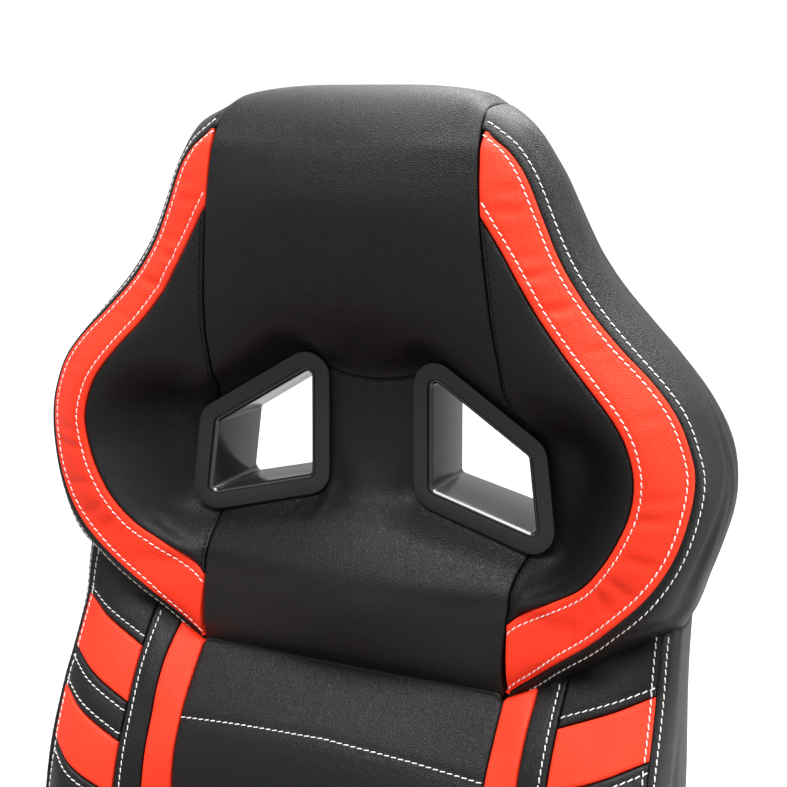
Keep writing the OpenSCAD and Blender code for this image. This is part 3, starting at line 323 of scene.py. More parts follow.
def pad(grid, seams, crown=1.0, reach=14.0, rollWidth=4.2, rollDepth=2.4, pressed=(), folds=(), ripples=0.12,
        hem=6.0, tuck=None):
    # Gives a flat-laid panel its padding, and turns its edges down into the seams
    n = gridNormals(grid)
    flat, shape = grid.reshape(-1, 3), grid.shape[:2]
    across = np.concatenate([np.zeros((shape[0], 1)), np.linalg.norm(np.diff(grid, axis=1), axis=2).cumsum(1)], 1)
    along = np.concatenate([np.zeros((1, shape[1])), np.linalg.norm(np.diff(grid, axis=0), axis=2).cumsum(0)], 0)
    d = np.min([distanceTo(flat, grid[borders[s]]) for s in seams], axis=0).reshape(shape)
    t = np.clip(1 - d / rollWidth, 0, 1)
    lift = crown * (1 - np.exp(-d / reach)) - rollDepth * (1 - np.sqrt(np.maximum(0, 1 - t * t)))
    sway = pucker["sway"] * np.sin(along / pucker["swayLength"])
    ripple = np.sin((across + along) / pucker["across"] + sway)
    ripple *= np.sin((along - across) / pucker["along"] + pucker["shift"])
    lift += ripples * ripple * np.exp(-d / pucker["reach"]) * (1 - t)
    for line, depth, width in pressed:
        lift -= depth * np.exp(-(distanceTo(flat, line) / width) ** 2).reshape(shape)
    lift += foldLift(grid, n, across, along, folds) * np.clip(d / crease["seamClear"], 0, 1)
    padded = grid + n * lift[..., None]
    ring = np.pad(padded, ((1, 1), (1, 1), (0, 0)), mode="edge")
    inward = np.pad(n, ((1, 1), (1, 1), (0, 0)), mode="edge") * hem
    for part in borders.values():
        ring[part] -= inward[part]
    for side, move in (tuck or {}).items():
        ring[borders[side]] += inward[borders[side]] + np.array(move, float)
    return ring


def mirrored(grid):
    flipped = grid[:, ::-1].copy()
    flipped[..., 0] *= -1
    return flipped


def newPiece(name, points, faces, material, clean):
    mesh = bpy.data.meshes.new(name)
    mesh.from_pydata(points, [], faces)
    bm = bmesh.new()
    bm.from_mesh(mesh)
    clean(bm)
    bm.to_mesh(mesh)
    bm.free()
    mesh.polygons.foreach_set("use_smooth", [True] * len(mesh.polygons))
    mesh.materials.append(material)
    piece = bpy.data.objects.new(name, mesh)
    bpy.context.scene.collection.objects.link(piece)
    return piece


def closeSeams(bm):
    bmesh.ops.remove_doubles(bm, verts=bm.verts, dist=sewing["merge"])
    bmesh.ops.delete(bm, geom=[v for v in bm.verts if not v.link_faces], context="VERTS")
    bmesh.ops.dissolve_degenerate(bm, edges=bm.edges, dist=sewing["sliver"])


def faceOutward(bm):
    bmesh.ops.recalc_face_normals(bm, faces=bm.faces)


def sew(name, grids, toWorld, material, cutBezels=False, levels=1):
    # One mesh of one or more padded panels, all of the same leather
    points, faces = [], []
    for grid in grids:
        rows, cols = grid.shape[:2]
        first = sum(len(p) for p in points)
        index = first + np.arange(rows * cols).reshape(rows, cols)
        quads = np.stack([index[:-1, :-1], index[:-1, 1:], index[1:, 1:], index[1:, :-1]], -1)
        keep = np.ones(quads.shape[:2], bool)
        keep[0, 0] = keep[0, -1] = keep[-1, 0] = keep[-1, -1] = False
        if cutBezels:
            mid = (grid[:-1, :-1] + grid[1:, 1:]) / 2
            keep &= bezelDistance(np.abs(mid[..., 0]), mid[..., 2]) > sewing["bezelCut"]
        faces.append(quads[keep])
        points.append(grid.reshape(-1, 3))
    points = toWorld(np.concatenate(points)).tolist()
    piece = newPiece(name, points, np.concatenate(faces).tolist(), material, closeSeams)
    if levels:
        smooth = piece.modifiers.new("smooth", "SUBSURF")
        smooth.levels = smooth.render_levels = levels
        smooth.boundary_smooth = "PRESERVE_CORNERS"
        applyAll(piece)
    return piece


def applyAll(piece):
    bpy.ops.object.select_all(action="DESELECT")
    bpy.context.view_layer.objects.active = piece
    piece.select_set(True)
    for modifier in list(piece.modifiers):
        bpy.ops.object.modifier_apply(modifier=modifier.name)
    piece.select_set(False)


def dress(piece, body, slot, *replaced, fill=0.6):
    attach(piece, body)
    if replaced:
        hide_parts(*replaced)
    return piece


def addNode(tree, kind, **values):
    node = tree.nodes.new(kind)
    for key, value in values.items():
        if hasattr(node, key):
            setattr(node, key, value)
        else:
            node.inputs[key].default_value = value
    return node


def addNoise(tree, place, scale, detail):
    # Noise at a fixed scale, or at one that a socket gives
    node = addNode(tree, "ShaderNodeTexNoise", Detail=detail)
    tree.links.new(place, node.inputs["Vector"])
    if isinstance(scale, float):
        node.inputs["Scale"].default_value = scale
    else:
        tree.links.new(scale, node.inputs["Scale"])
    return node.outputs


def newGroup(name, inputs, outputs):
    group = bpy.data.node_groups.new(name, "ShaderNodeTree")
    for label, value in inputs:
        group.interface.new_socket(label, in_out="INPUT", socket_type="NodeSocketFloat").default_value = value
    for label in outputs:
        group.interface.new_socket(label, in_out="OUTPUT", socket_type="NodeSocketFloat")
    place = group.nodes.new("ShaderNodeTexCoord").outputs["Object"]
    given, out = group.nodes.new("NodeGroupInput"), group.nodes.new("NodeGroupOutput")
    return group, place, given.outputs, out.inputs


def mathNode(tree, operation, *values, clamp=False):
    node = tree.nodes.new("ShaderNodeMath")
    node.operation, node.use_clamp = operation, clamp
    for socket, value in zip(node.inputs, values):
        if isinstance(value, (int, float)):
            socket.default_value = value
        else:
            tree.links.new(value, socket)
    return node.outputs[0]


hide = {"warpScale": 260.0, "warp": (0.0016, 0.0016, 0.0010), "valley": 0.28, "poreShare": 0.14,
        "slowScale": 11.0, "patchScale": 90.0, "patchShare": 0.4, "plainShare": 0.65, "slowTone": 0.6,
        "cellTone": 0.4, "cells": 760, "pores": 2600, "glossSpread": 0.03, "bump": 0.5}


def buildHideGrain():
    # Pebbled leather: close cells with soft valleys, fine pores, and slow changes of tone
    group, place, given, out = newGroup("hideGrain", [("Cells", 800.0), ("Pores", 2600.0)],
                                        ["Height", "Tone", "Gloss"])
    link = group.links.new
    moved = addNode(group, "ShaderNodeVectorMath", operation="MULTIPLY_ADD")
    moved.inputs[1].default_value = hide["warp"]
    link(addNoise(group, place, hide["warpScale"], 1.0)["Color"], moved.inputs[0])
    link(place, moved.inputs[2])
    cells = addNode(group, "ShaderNodeTexVoronoi", feature="DISTANCE_TO_EDGE")
    link(moved.outputs[0], cells.inputs["Vector"])
    link(given["Cells"], cells.inputs["Scale"])
    valley = addNode(group, "ShaderNodeMapRange", interpolation_type="SMOOTHSTEP")
    valley.inputs["From Max"].default_value = hide["valley"]
    link(cells.outputs["Distance"], valley.inputs["Value"])
    valley = valley.outputs["Result"]
    pores = addNoise(group, place, given["Pores"], 1.0)["Fac"]
    slow = addNoise(group, place, hide["slowScale"], 2.0)["Fac"]
    patch = addNoise(group, place, hide["patchScale"], 2.0)["Fac"]
    depth = mathNode(group, "MULTIPLY_ADD", patch, hide["patchShare"], hide["plainShare"])
    height = mathNode(group, "MULTIPLY", valley, depth)
    link(mathNode(group, "ADD", height, mathNode(group, "MULTIPLY", pores, hide["poreShare"])), out["Height"])
    link(mathNode(group, "ADD", mathNode(group, "MULTIPLY", slow, hide["slowTone"]),
                  mathNode(group, "MULTIPLY", valley, hide["cellTone"])), out["Tone"])
    link(patch, out["Gloss"])
    return group


mould = {"grainDetail": 2.0, "cloudScale": 24.0, "cloudDetail": 3.0, "speckScale": 700.0, "speckPower": 3.0,
         "dustShare": 0.5, "glossSpread": 0.08}


def buildMouldTexture():
    # Moulded, painted and plated surfaces: fine texture, slow clouding, and dust on what faces up
    group, place, given, out = newGroup("mouldTexture", [("Grain", 1500.0), ("Streak", 1.0)],
                                        ["Height", "Cloud", "Dust"])
    link = group.links.new
    stretched = addNode(group, "ShaderNodeVectorMath", operation="MULTIPLY")
    scale = group.nodes.new("ShaderNodeCombineXYZ")
    scale.inputs[0].default_value = scale.inputs[2].default_value = 1
    link(place, stretched.inputs[0])
    link(given["Streak"], scale.inputs[1])
    link(scale.outputs[0], stretched.inputs[1])
    facing = group.nodes.new("ShaderNodeSeparateXYZ")
    link(group.nodes.new("ShaderNodeNewGeometry").outputs["Normal"], facing.inputs[0])
    speck = addNoise(group, place, mould["speckScale"], 2.0)["Fac"]
    link(mathNode(group, "MULTIPLY", mathNode(group, "MAXIMUM", facing.outputs[2], 0.0),
                  mathNode(group, "POWER", speck, mould["speckPower"]), clamp=True), out["Dust"])
    link(addNoise(group, stretched.outputs[0], given["Grain"], mould["grainDetail"])["Fac"], out["Height"])
    link(addNoise(group, place, mould["cloudScale"], mould["cloudDetail"])["Fac"], out["Cloud"])
    return group


def startMaterial(name, group, values):
    material = bpy.data.materials.new(name)
    material.use_nodes = True
    tree = material.node_tree
    pattern = addNode(tree, "ShaderNodeGroup", node_tree=group)
    for key, value in values.items():
        pattern.inputs[key].default_value = value
    return material, tree, tree.nodes["Principled BSDF"], pattern.outputs


def shadeBetween(tree, factor, dark, light, target):
    ramp = addNode(tree, "ShaderNodeMix", data_type="RGBA")
    # Sockets 0, 6, 7 and output 2 are the factor and the two colours of a colour mix
    ramp.inputs[6].default_value, ramp.inputs[7].default_value = (*dark, 1), (*light, 1)
    tree.links.new(factor, ramp.inputs[0])
    tree.links.new(ramp.outputs[2], target)


def spreadRoughness(tree, value, middle, around, shader):
    span = tree.nodes.new("ShaderNodeMapRange")
    span.inputs["To Min"].default_value, span.inputs["To Max"].default_value = middle - around, middle + around
    tree.links.new(value, span.inputs["Value"])
    tree.links.new(span.outputs["Result"], shader.inputs["Roughness"])


def addBump(tree, shader, height, distance, strength):
    bump = addNode(tree, "ShaderNodeBump", Distance=distance, Strength=strength)
    tree.links.new(height, bump.inputs["Height"])
    tree.links.new(bump.outputs["Normal"], shader.inputs["Normal"])


def makeLeather(name, dark, light, roughness, specular, depth):
    material, tree, shader, grain = startMaterial(name, hideGrain, {"Cells": hide["cells"], "Pores": hide["pores"]})
    shadeBetween(tree, grain["Tone"], dark, light, shader.inputs["Base Color"])
    spreadRoughness(tree, grain["Gloss"], roughness, hide["glossSpread"], shader)
    addBump(tree, shader, grain["Height"], depth, hide["bump"])
    shader.inputs["Specular IOR Level"].default_value = specular
    return material


def makeFinish(name, dark, light, roughness, metallic=0.0, grain=1500, streak=1.0, depth=0.00002, strength=0.3,
               specular=0.5, coat=0.0):
    material, tree, shader, texture = startMaterial(name, mouldTexture, {"Grain": grain, "Streak": streak})
    shadeBetween(tree, texture["Cloud"], dark, light, shader.inputs["Base Color"])
    uneven = mathNode(tree, "MULTIPLY_ADD", texture["Dust"], mould["dustShare"], texture["Cloud"])
    spreadRoughness(tree, uneven, roughness, mould["glossSpread"], shader)
    addBump(tree, shader, texture["Height"], depth, strength)
    shader.inputs["Metallic"].default_value = metallic
    shader.inputs["Specular IOR Level"].default_value = specular
    shader.inputs["Coat Weight"].default_value = coat
    return material


def grey(value, tint=0.0):
    return value, value, value + tint


hideGrain, mouldTexture = buildHideGrain(), buildMouldTexture()
# Dark tone, light tone and roughness, then what differs from a plain moulded surface
leathers = {"black": makeLeather("blackHide", grey(0.0036, 0.0002), grey(0.0080, 0.0004), 0.38, 0.22, 0.00038),
            "red": makeLeather("redHide", (0.85, 0.032, 0.010), (0.93, 0.044, 0.015), 0.45, 0.19, 0.00035)}
paleThread = makeFinish("paleThread", (0.62, 0.60, 0.57), (0.82, 0.80, 0.77), 0.62, grain=3500, depth=0.00006)
darkThread = makeFinish("darkThread", grey(0.002), grey(0.006), 0.8, grain=3500, depth=0.00006, specular=0.1)
bezelFace = makeFinish("bezelFace", (0.013, 0.011, 0.0105), (0.020, 0.017, 0.0165), 0.5, grain=2600,
                       depth=0.00003, specular=0.35)
tunnelGloss = makeFinish("tunnelGloss", grey(0.010), (0.018, 0.017, 0.017), 0.17, grain=300, strength=0.15,
                         specular=0.32)
lipGloss = makeFinish("lipGloss", grey(0.012), grey(0.020), 0.15, grain=300, strength=0.15, specular=0.7, coat=0.6)
feltFinish = makeFinish("feltFinish", grey(0.010, 0.001), grey(0.020, 0.001), 0.9, grain=1400, depth=0.0003,
                        strength=0.6, specular=0.2)
slotFinish = {"black_leather": leathers["black"], "red_leather": leathers["red"], "bezel_plastic": bezelFace,
              "foam": makeFinish("foamFinish", grey(0.05, 0.005), grey(0.09, 0.01), 0.85, grain=700, depth=0.0003),
              "trim_plastic": makeFinish("trimPlastic", grey(0.016, 0.001), grey(0.026, 0.001), 0.5, grain=1800,
                                         depth=0.00005),
              "black_steel": makeFinish("powderCoat", grey(0.014, 0.001), grey(0.022, 0.001), 0.42, grain=1200,
                                        depth=0.00004),
              "zinc_steel": makeFinish("zincPlate", grey(0.50, -0.03), grey(0.66, -0.04), 0.34, metallic=1.0,
                                       grain=900, streak=0.05, depth=0.00001),
              "spring_steel": makeFinish("springSteel", grey(0.20, 0.01), grey(0.32, 0.01), 0.38, metallic=1.0,
                                         grain=900, streak=0.1, depth=0.00001),
              "cage_plastic": makeFinish("cageNylon", (0.62, 0.60, 0.53), (0.76, 0.74, 0.67), 0.5, grain=800,
                                         depth=0.00003)}
for part in frame["record"]["subparts"]:
    for slot in nodes[part["node"]].material_slots:
        slot.material = slotFinish[part["material_slot"]]
print("materials made")

# Every sewn row by its thread: the piece, the row's line, and the way into the world
stitches = {"pale": [], "dark": [], "seat": []}


def flipped(line):
    return line * np.array([-1, 1, 1])


def makeCover(name, body, colour, grids, replaced=(), side="", lines=(), thread="pale", cutBezels=False, fill=0.6):
    # Sews and dresses one cover, or with a side the right or left one of a pair, and notes its rows for the thread
    toWorld = backToWorld if body == "backrest" else seatToWorld
    if side == "left":
        grids, lines = [mirrored(grid) for grid in grids], [flipped(line) for line in lines]
    ending = "_" + side if side else ""
    piece = sew(name + ending, grids, toWorld, leathers[colour], cutBezels=cutBezels)
    dress(piece, body, colour + "_leather", *[node + ending for node in replaced], fill=fill)
    stitches[thread] += [(piece, line, toWorld) for line in lines]


def makePair(*values, **more):
    for side in ("right", "left"):
        makeCover(*values, side=side, **more)


def pressedRow(at, side, distance, depth=0.55, width=1.7):
    return insetLine(layOut(at), side, distance), depth, width


def paddingOf(crown, reach, rollWidth, rollDepth, **more):
    return {"crown": crown, "reach": reach, "rollWidth": rollWidth, "rollDepth": rollDepth, **more}


# Head cover: heights of its front, its roll over the top and its fall behind, then its seams and padding
head = {"front": 373.0, "over": 56.0, "behind": 42.0, "rearSeam": 381.0, "rearPower": 1.57, "frontTop": 371.9,
        "slopeSpan": 3, "midSeam": 202.0, "midRise": 5.0, "midRiseAt": 35, "midHalf": 37, "midPress": (1.8, 1.5),
        "closeRows": (200, 212, 0.8), "edge": [row[:2] for row in seamLine if row[0] <= 365] + [[380, 98]],
        "top": [[0, 405.6], [50, 404.9], [86, 400.7], [98, 394.5], [116, 392.6], [124, 387.8]],
        "fullness": [[0, 0.62, 0.6], [60, 0.66, 0.62], [98, 0.82, 0.75]],
        "padding": paddingOf(1.2, 20, 2.8, 1.4, tuck={"b": (0, 9, -2)},
                             folds=[(70, 128, 80, 22, 5, 0.5), (150, 120, 100, 20, 5, 0.45),
                                    (40, 330, 60, 26, 7, 0.35), (112, 60, 20, 46, 10, 0.4)])}
headLength = head["front"] + head["over"] + head["behind"]
# Rear panel: foot and the level where it stands on the lower part, the turn of its edge, and its bulge
rear = {"foot": -384.0, "level": 60, "footGap": 1, "turnFrom": 350, "inset": 0.3, "step": 6, "row": 6.0,
        "turn": [[331, 136.4], [350, 125.5], [371, 109], [381, 99]], "flatHalf": 150, "wideFrom": 152, "wideOver": 30,
        "padding": {"crown": 1.0, "reach": 22, "folds": [(120, 470, 80, 60, 12, 0.7), (330, 380, 100, 60, 12, 0.6),
                                                         (230, 300, 5, 90, 14, 0.6)]}}


def footOf(x):
    return curve(lowerEnd, np.abs(x))


def rearEdge(z):
    return np.where(z < rear["turnFrom"], curve(rearLine, z), curve(rear["turn"], z)) - rear["inset"]


def rearDepth(x, z):
    half, edgeY, x = rearEdge(z), curve(rearLine, z, 2), np.abs(x)
    fall = np.maximum(0, (x - rear["flatHalf"]) / np.maximum(1, half - rear["flatHalf"]))
    wide = np.clip((half - rear["wideFrom"]) / rear["wideOver"], 0, 1)
    y = mix(curve(rearMiddle, z), edgeY, mix((x / half) ** 4, fall ** 2, wide))
    return back["rollY"] + (y - back["rollY"]) * roll(z)


def rearSurface(s, t):
    z = mix(rear["foot"], head["rearSeam"], t)
    x = (1 - 2 * s) * rearEdge(z)
    share = (z - rear["foot"]) / (rear["level"] - rear["foot"])
    foot = mix(footOf(x) + rear["footGap"], rear["level"], share)
    return stacked(x, rearDepth(x, z), np.where(z > rear["level"], z, foot))


def headSurface(s, p):
    # p runs in millimetres up the front, over the top and down to the rear seam
    x = (2 * s - 1) * curve(head["edge"], np.minimum(p - 1, head["edge"][-1][0]))
    top, middle, low = curve(head["top"], np.abs(x)), back["rollY"], back["rollStart"]
    u = np.clip((p - head["front"]) / head["over"], 0, 1)
    down = np.clip((p - head["front"] - head["over"]) / head["behind"], 0, 1) * math.pi / 2
    y0 = upperFront(x, np.minimum(p - 1, head["frontTop"]))
    y1 = rearDepth(x, np.full(len(x), head["rearSeam"]))
    # The roll over the top starts along the front's own slope
    above, below = (upperFront(x, np.full(len(x), head["frontTop"] - d)) for d in (0, head["slopeSpan"]))
    lean = (above - below) / head["slopeSpan"]
    rise, reach = (curve(head["fullness"], np.abs(x), k) for k in (1, 2))
    a, b, c, d = (1 - u) ** 3, 3 * (1 - u) ** 2 * u, 3 * (1 - u) * u * u, u ** 3
    overY = a * y0 + b * (y0 + lean * rise * (top - low)) + c * (middle - reach * (middle - y0)) + d * middle
    overZ = a * low + b * (low + rise * (top - low)) + (c + d) * top
    fallZ = mix(head["rearSeam"], top, np.maximum(0, np.cos(down)) ** head["rearPower"])
    fallY = middle + (y1 - middle) * np.sin(down)
    first, second = p < head["front"], p < head["front"] + head["over"]
    z = np.where(first, p - 1, np.where(second, overZ, fallZ))
    return stacked(x, np.where(first, y0, np.where(second, overY, fallY)), z)


def headCover(s, t):
    return headSurface(s, headLength * t)


def midSeam():
    x = np.linspace(-head["midHalf"], head["midHalf"], 40)
    z = head["midSeam"] + head["midRise"] * (x / head["midRiseAt"]) ** 2
    return stacked(x, upperFront(x, z), z)


head["seam"] = midSeam()
grid = pad(layOut(headCover, closer=np.arange(*head["closeRows"]) / headLength), "lrbt",
           pressed=[(head["seam"], *head["midPress"])], **head["padding"])
makeCover("head_cover", "backrest", "black", [grid], ["head_panel", "back_foam_upper"], lines=[head["seam"]],
          thread="dark", cutBezels=True, fill=0.75)

flank = {"foot": 52, "top": 322, "row": 2.6,
         "padding": paddingOf(0.8, 16, 2.8, 1.4, folds=[(40, 60, 30, 24, 6, 0.7), (30, 40, 55, 20, 5, 0.6)])}


def flankSurface(s, t):
    z = mix(flank["foot"], flank["top"], t)
    x = mix(curve(seamLine, z), curve(bandInner, z), s)
    return stacked(x, upperFront(x, z), z)


flat = layOut(flankSurface)
grid = pad(flat, "lr", **flank["padding"])
makePair("flank_cover", "backrest", "black", [grid], ["flank_panel"], lines=[insetLine(flat, "l", flank["row"])],
         thread="dark", cutBezels=True)

# Red band: heights of its inner and outer edge at each station, from the waist to the top corner
band = {"stations": [[51, 0], [61, 19], [74, 40], [88, 65], [105, 93], [124, 118], [145, 146], [166, 170], [186, 190],
                     [202, 209], [224, 231], [243, 248], [264, 267], [283, 287], [303, 303], [323, 322], [345, 346],
                     [365, 364], [378, 378]],
        "innerTop": 322.9, "gap": 0.1, "step": 2.3, "rows": (6.3, 5.0), "rowPress": (0.55, 1.7),
        "bendUntil": 306, "runOn": (1.5, 60, 1.5), "runGap": 0.3,
        "padding": paddingOf(0.9, 9, 3.2, 1.8, folds=[
            (9, 320, 12, 11, 4.2, 1.2), (13, 303, 14, 13, 4.5, 1.3), (17, 378, 6, 14, 5, 0.8),
            (22, 290, 16, 10, 4, 0.5), (16, 157, 8, 15, 4.5, 1.0), (22, 137, 4, 15, 5, 0.9),
            (20, 112, -6, 14, 4.5, 0.9), (18, 172, 6, 14, 4.5, 0.6), (14, 90, -10, 13, 5, 0.7),
            (20, 60, -18, 14, 6, 0.6), (24, 235, 12, 12, 5, 0.5), (14, 345, 10, 12, 5, 0.5),
            (20, 405, 12, 12, 5, 0.6)])}


def stationValues(table, t):
    rows = [[k] + row for k, row in enumerate(table)]
    return [curve(rows, t * (len(table) - 1), c + 1) for c in range(len(table[0]))]


def bandSurface(s, t):
    zi, zo = stationValues(band["stations"], t)
    xi = np.where(zi > band["innerTop"], curve(seamLine, zi), curve(bandInner, zi)) + band["gap"]
    x, z = mix(xi, curve(bandOuter, zo), s), mix(zi, zo, s)
    return stacked(x, upperFront(x, z), z)


def innerRow(flat):
    # Follows the flank's edge, and runs straight on into the head seam
    line = insetLine(flat, "l", band["rows"][0])
    line = line[line[:, 2] < band["bendUntil"]]
    ahead = (line[-1] - line[-5]) / np.linalg.norm(line[-1] - line[-5])
    out = [line]
    for reach in np.arange(*band["runOn"]):
        x, _, z = line[-1] + ahead * reach
        if x < curve(seamLine, [z])[0] + band["runGap"]:
            break
        out.append(np.array([[x, upperFront([x], [z])[0], z]]))
    return np.concatenate(out)


flat = layOut(bandSurface)
bandLines = [innerRow(flat), insetLine(flat, "r", band["rows"][1])]
grid = pad(layOut(bandSurface, band["step"]), "lrbt", pressed=[(line, *band["rowPress"]) for line in bandLines],
           **band["padding"])
makePair("red_band_cover", "backrest", "red", [grid], ["red_band"], lines=bandLines)

# Side boxing: sections [front z, bulge x, z, y, rear x, y, z], and how full it is beside the seams
boxing = {"stations": [[0, 125, -6, 11, 129, 21, -6], [19, 149, 4, 13, 152, 23, 4], [40, 176, 20, 15.5, 178, 24, 21],
                       [65, 205, 41, 20, 207, 30, 42], [93, 233, 62, 26, 228, 82, 64],
                       [118, 247, 98, 29, 238.6, 82, 100], [146, 256.4, 133, 28, 251.5, 82, 135],
                       [170, 259, 160, 27, 252.3, 82, 160], [190, 253.6, 182, 26, 246.3, 82, 183],
                       [209, 242.2, 207, 26, 231.8, 83, 207], [231, 224.4, 230, 25, 211.3, 84, 231],
                       [248, 204.1, 252, 25, 189.3, 84, 254], [267, 185.1, 273, 25, 169.9, 84, 275],
                       [287, 170.5, 293, 25, 155.1, 84, 295], [303, 161, 310, 25, 146.4, 83, 311],
                       [322, 152.1, 330, 25, 136.4, 82, 331], [346, 143.5, 350, 25, 125.5, 82, 350],
                       [364, 129.9, 373, 25, 109, 80, 371], [373, 115.3, 387.5, 26, 99, 78, 381],
                       [380, 98, 397, 30, 98, 77, 381]],
          "stripAt": 0.3, "stripDepth": 5, "stripSlope": 0.25, "frontFull": 1.6, "rearFull": 2.6,
          "frontTop": 380, "turnFrom": 17.4, "turnOver": 1.6, "row": 7.0, "rowDepth": 0.7,
          "padding": paddingOf(1.2, 18, 3.0, 1.6, folds=[
              (30, 205, 92, 60, 5.5, 1.7), (41, 232, 87, 52, 5, 1.3), (24, 172, 96, 34, 5, 1.1),
              (52, 190, 84, 46, 6, 1.0), (34, 290, 88, 40, 6, 0.8), (48, 330, 95, 36, 6, 0.7),
              (30, 420, 60, 22, 5, 0.5), (22, 120, 70, 26, 5, 0.9), (60, 265, 80, 44, 7, 0.8),
              (66, 150, 98, 40, 7, 0.9), (58, 400, 92, 40, 7, 0.6)])}


def through(points, s, keys=None):
    # A smooth section through lists of points, each (count, 3)
    keys = np.linspace(0, 1, len(points)) if keys is None else np.asarray(keys, float)
    keys = np.broadcast_to(keys, (len(s), len(points)))
    return np.stack([hermite(keys, np.stack([p[:, k] for p in points], 1), s) for k in range(3)], 1)


def boxingSurface(s, t):
    az, bx, bz, by, cx, cy, cz = stationValues(boxing["stations"], t)
    low = np.minimum(az, boxing["frontTop"])
    ax = curve(bandOuter, low)
    a, b, c = stacked(ax, upperFront(ax, low), az), stacked(bx, by, bz), stacked(cx, cy, cz)
    outward = b - (a + c) / 2
    outward /= np.maximum(np.linalg.norm(outward, axis=1, keepdims=True), 1e-6)
    strip = mix(a, b, boxing["stripAt"])
    strip[:, 1] = a[:, 1] + np.minimum(boxing["stripDepth"], boxing["stripSlope"] * (b[:, 1] - a[:, 1]))
    points = [a, strip, mix(strip, b, 0.5) + boxing["frontFull"] * outward, b,
              mix(b, c, 0.5) + boxing["rearFull"] * outward, c]
    # The last stations turn into the end of the head cover
    share = eased((t * (len(boxing["stations"]) - 1) - boxing["turnFrom"]) / boxing["turnOver"])[:, None]
    end = headSurface(np.ones(len(s)), head["rearSeam"] + s * (headLength - head["rearSeam"]))
    return mix(through(points, s), end, share)


row = pressedRow(boxingSurface, "l", boxing["row"], boxing["rowDepth"])
grid = pad(layOut(boxingSurface), "lrt", pressed=[row], **boxing["padding"])
makePair("side_boxing_cover", "backrest", "black", [grid], ["side_boxing"], lines=[row[0]])


flat = layOut(rearSurface, rear["step"])
makeCover("rear_cover", "backrest", "black", [pad(flat, "lrbt", **rear["padding"])], ["back_panel"],
          lines=[insetLine(flat, edge, rear["row"]) for edge in "lr"], thread="dark", cutBezels=True, fill=0.3)
print("upper covers sewn")

# Lower backrest: how each of its panels is padded and pressed, and the rows beside its seams
underWing = {"t": (0, 14, 0)}
centre = {"row": [[0, -40.5], [60, -43], [118, -47]], "rowShifts": (0, -118, -236), "rowHalf": 119.5,
          "rowPress": (1.0, 2.6), "padding": {"crown": 1.6, "reach": 22, "tuck": underWing}}
stripe = {"padding": paddingOf(0.8, 8, 3, 1.6, tuck=underWing)}
trimPanel = {"row": 5.6, "rowDepth": 0.8, "padding": paddingOf(0.9, 8, 2.6, 1.8, tuck=underWing)}
bolster = {"redTops": (-5.6, -69.5), "redBottoms": (-43.0, -107.0), "slope": 0.42, "slantGaps": (5.4, -6, 5, -6),
           "slantEnds": (164.4, 227.6), "slantPress": (0.7, 1.8), "row": 3.6, "padding": paddingOf(1.1, 12, 3, 1.7)}
sidePanel = {"foot": -385.0, "top": 60.0, "rearGap": 0.4, "stripAt": 0.62, "stripDepth": 5, "stripSlope": 0.3,
             "frontFull": (1.2, 0, 0), "rearFull": (2, 0, 0), "step": 4.5, "row": 4.8, "rowDepth": 0.7,
             "padding": paddingOf(1.0, 18, 3, 1.6, tuck={"t": (-6, 2, 6)}, folds=[
                 (40, 330, 60, 40, 8, 0.9), (60, 300, 80, 46, 8, 0.7), (50, 90, 30, 40, 9, 0.8)])}


def lowerPatch(x0, x1, low, high):
    def at(s, t):
        x = mix(x0, x1, s)
        z = mix(low(x), high(x), t)
        x = drawnIn(x, z)
        return stacked(x, lowerFront(x, z), z)
    return at


def slant(z):
    return lambda x: z + bolster["slope"] * (x - lower["trimOut"])


def slantRow(z):
    x = np.linspace(*bolster["slantEnds"], 30)
    z = slant(z)(x)
    x = drawnIn(x, z)
    return stacked(x, lowerFront(x, z), z)


def crossRow(shift):
    x = np.linspace(-centre["rowHalf"], centre["rowHalf"], 80)
    z = curve(centre["row"], np.abs(x)) + shift
    return stacked(x, lowerFront(x, z), z)


def sideSurface(s, t):
    z = mix(sidePanel["foot"], sidePanel["top"], t)
    e, ey, w, wy = curve(lowerEdge, z), curve(lowerEdge, z, 2), curve(lowerSide, z), curve(lowerSide, z, 2)
    r, ry = curve(rearLine, z), curve(rearLine, z, 2)
    first, side, last = stacked(e, ey, z), stacked(w, wy, z), stacked(r - sidePanel["rearGap"], ry, z)
    stripY = ey + np.minimum(sidePanel["stripDepth"], sidePanel["stripSlope"] * (wy - ey))
    strip = stacked(mix(e, w, sidePanel["stripAt"]), stripY, z)
    return through([first, strip, mix(strip, side, 0.5) + sidePanel["frontFull"], side,
                    mix(side, last, 0.5) + sidePanel["rearFull"], last], s)


crossLines = [crossRow(shift) for shift in centre["rowShifts"]]
grid = pad(layOut(lowerPatch(-lower["stripeIn"], lower["stripeIn"], footOf, lowerTop)), "lr",
           pressed=[(line, *centre["rowPress"]) for line in crossLines], **centre["padding"])
makeCover("lower_centre_cover", "backrest", "black", [grid], ["lower_centre_panel"], lines=crossLines, fill=0.7)

stripeGrid = pad(layOut(lowerPatch(lower["stripeIn"], lower["stripeOut"], footOf, lowerTop)), "lr", **stripe["padding"])
trimAt = lowerPatch(lower["stripeOut"], lower["trimOut"], footOf, lowerTop)
trimRow = pressedRow(trimAt, "r", trimPanel["row"], trimPanel["rowDepth"])
trimGrid = pad(layOut(trimAt), "lr", pressed=[trimRow], **trimPanel["padding"])
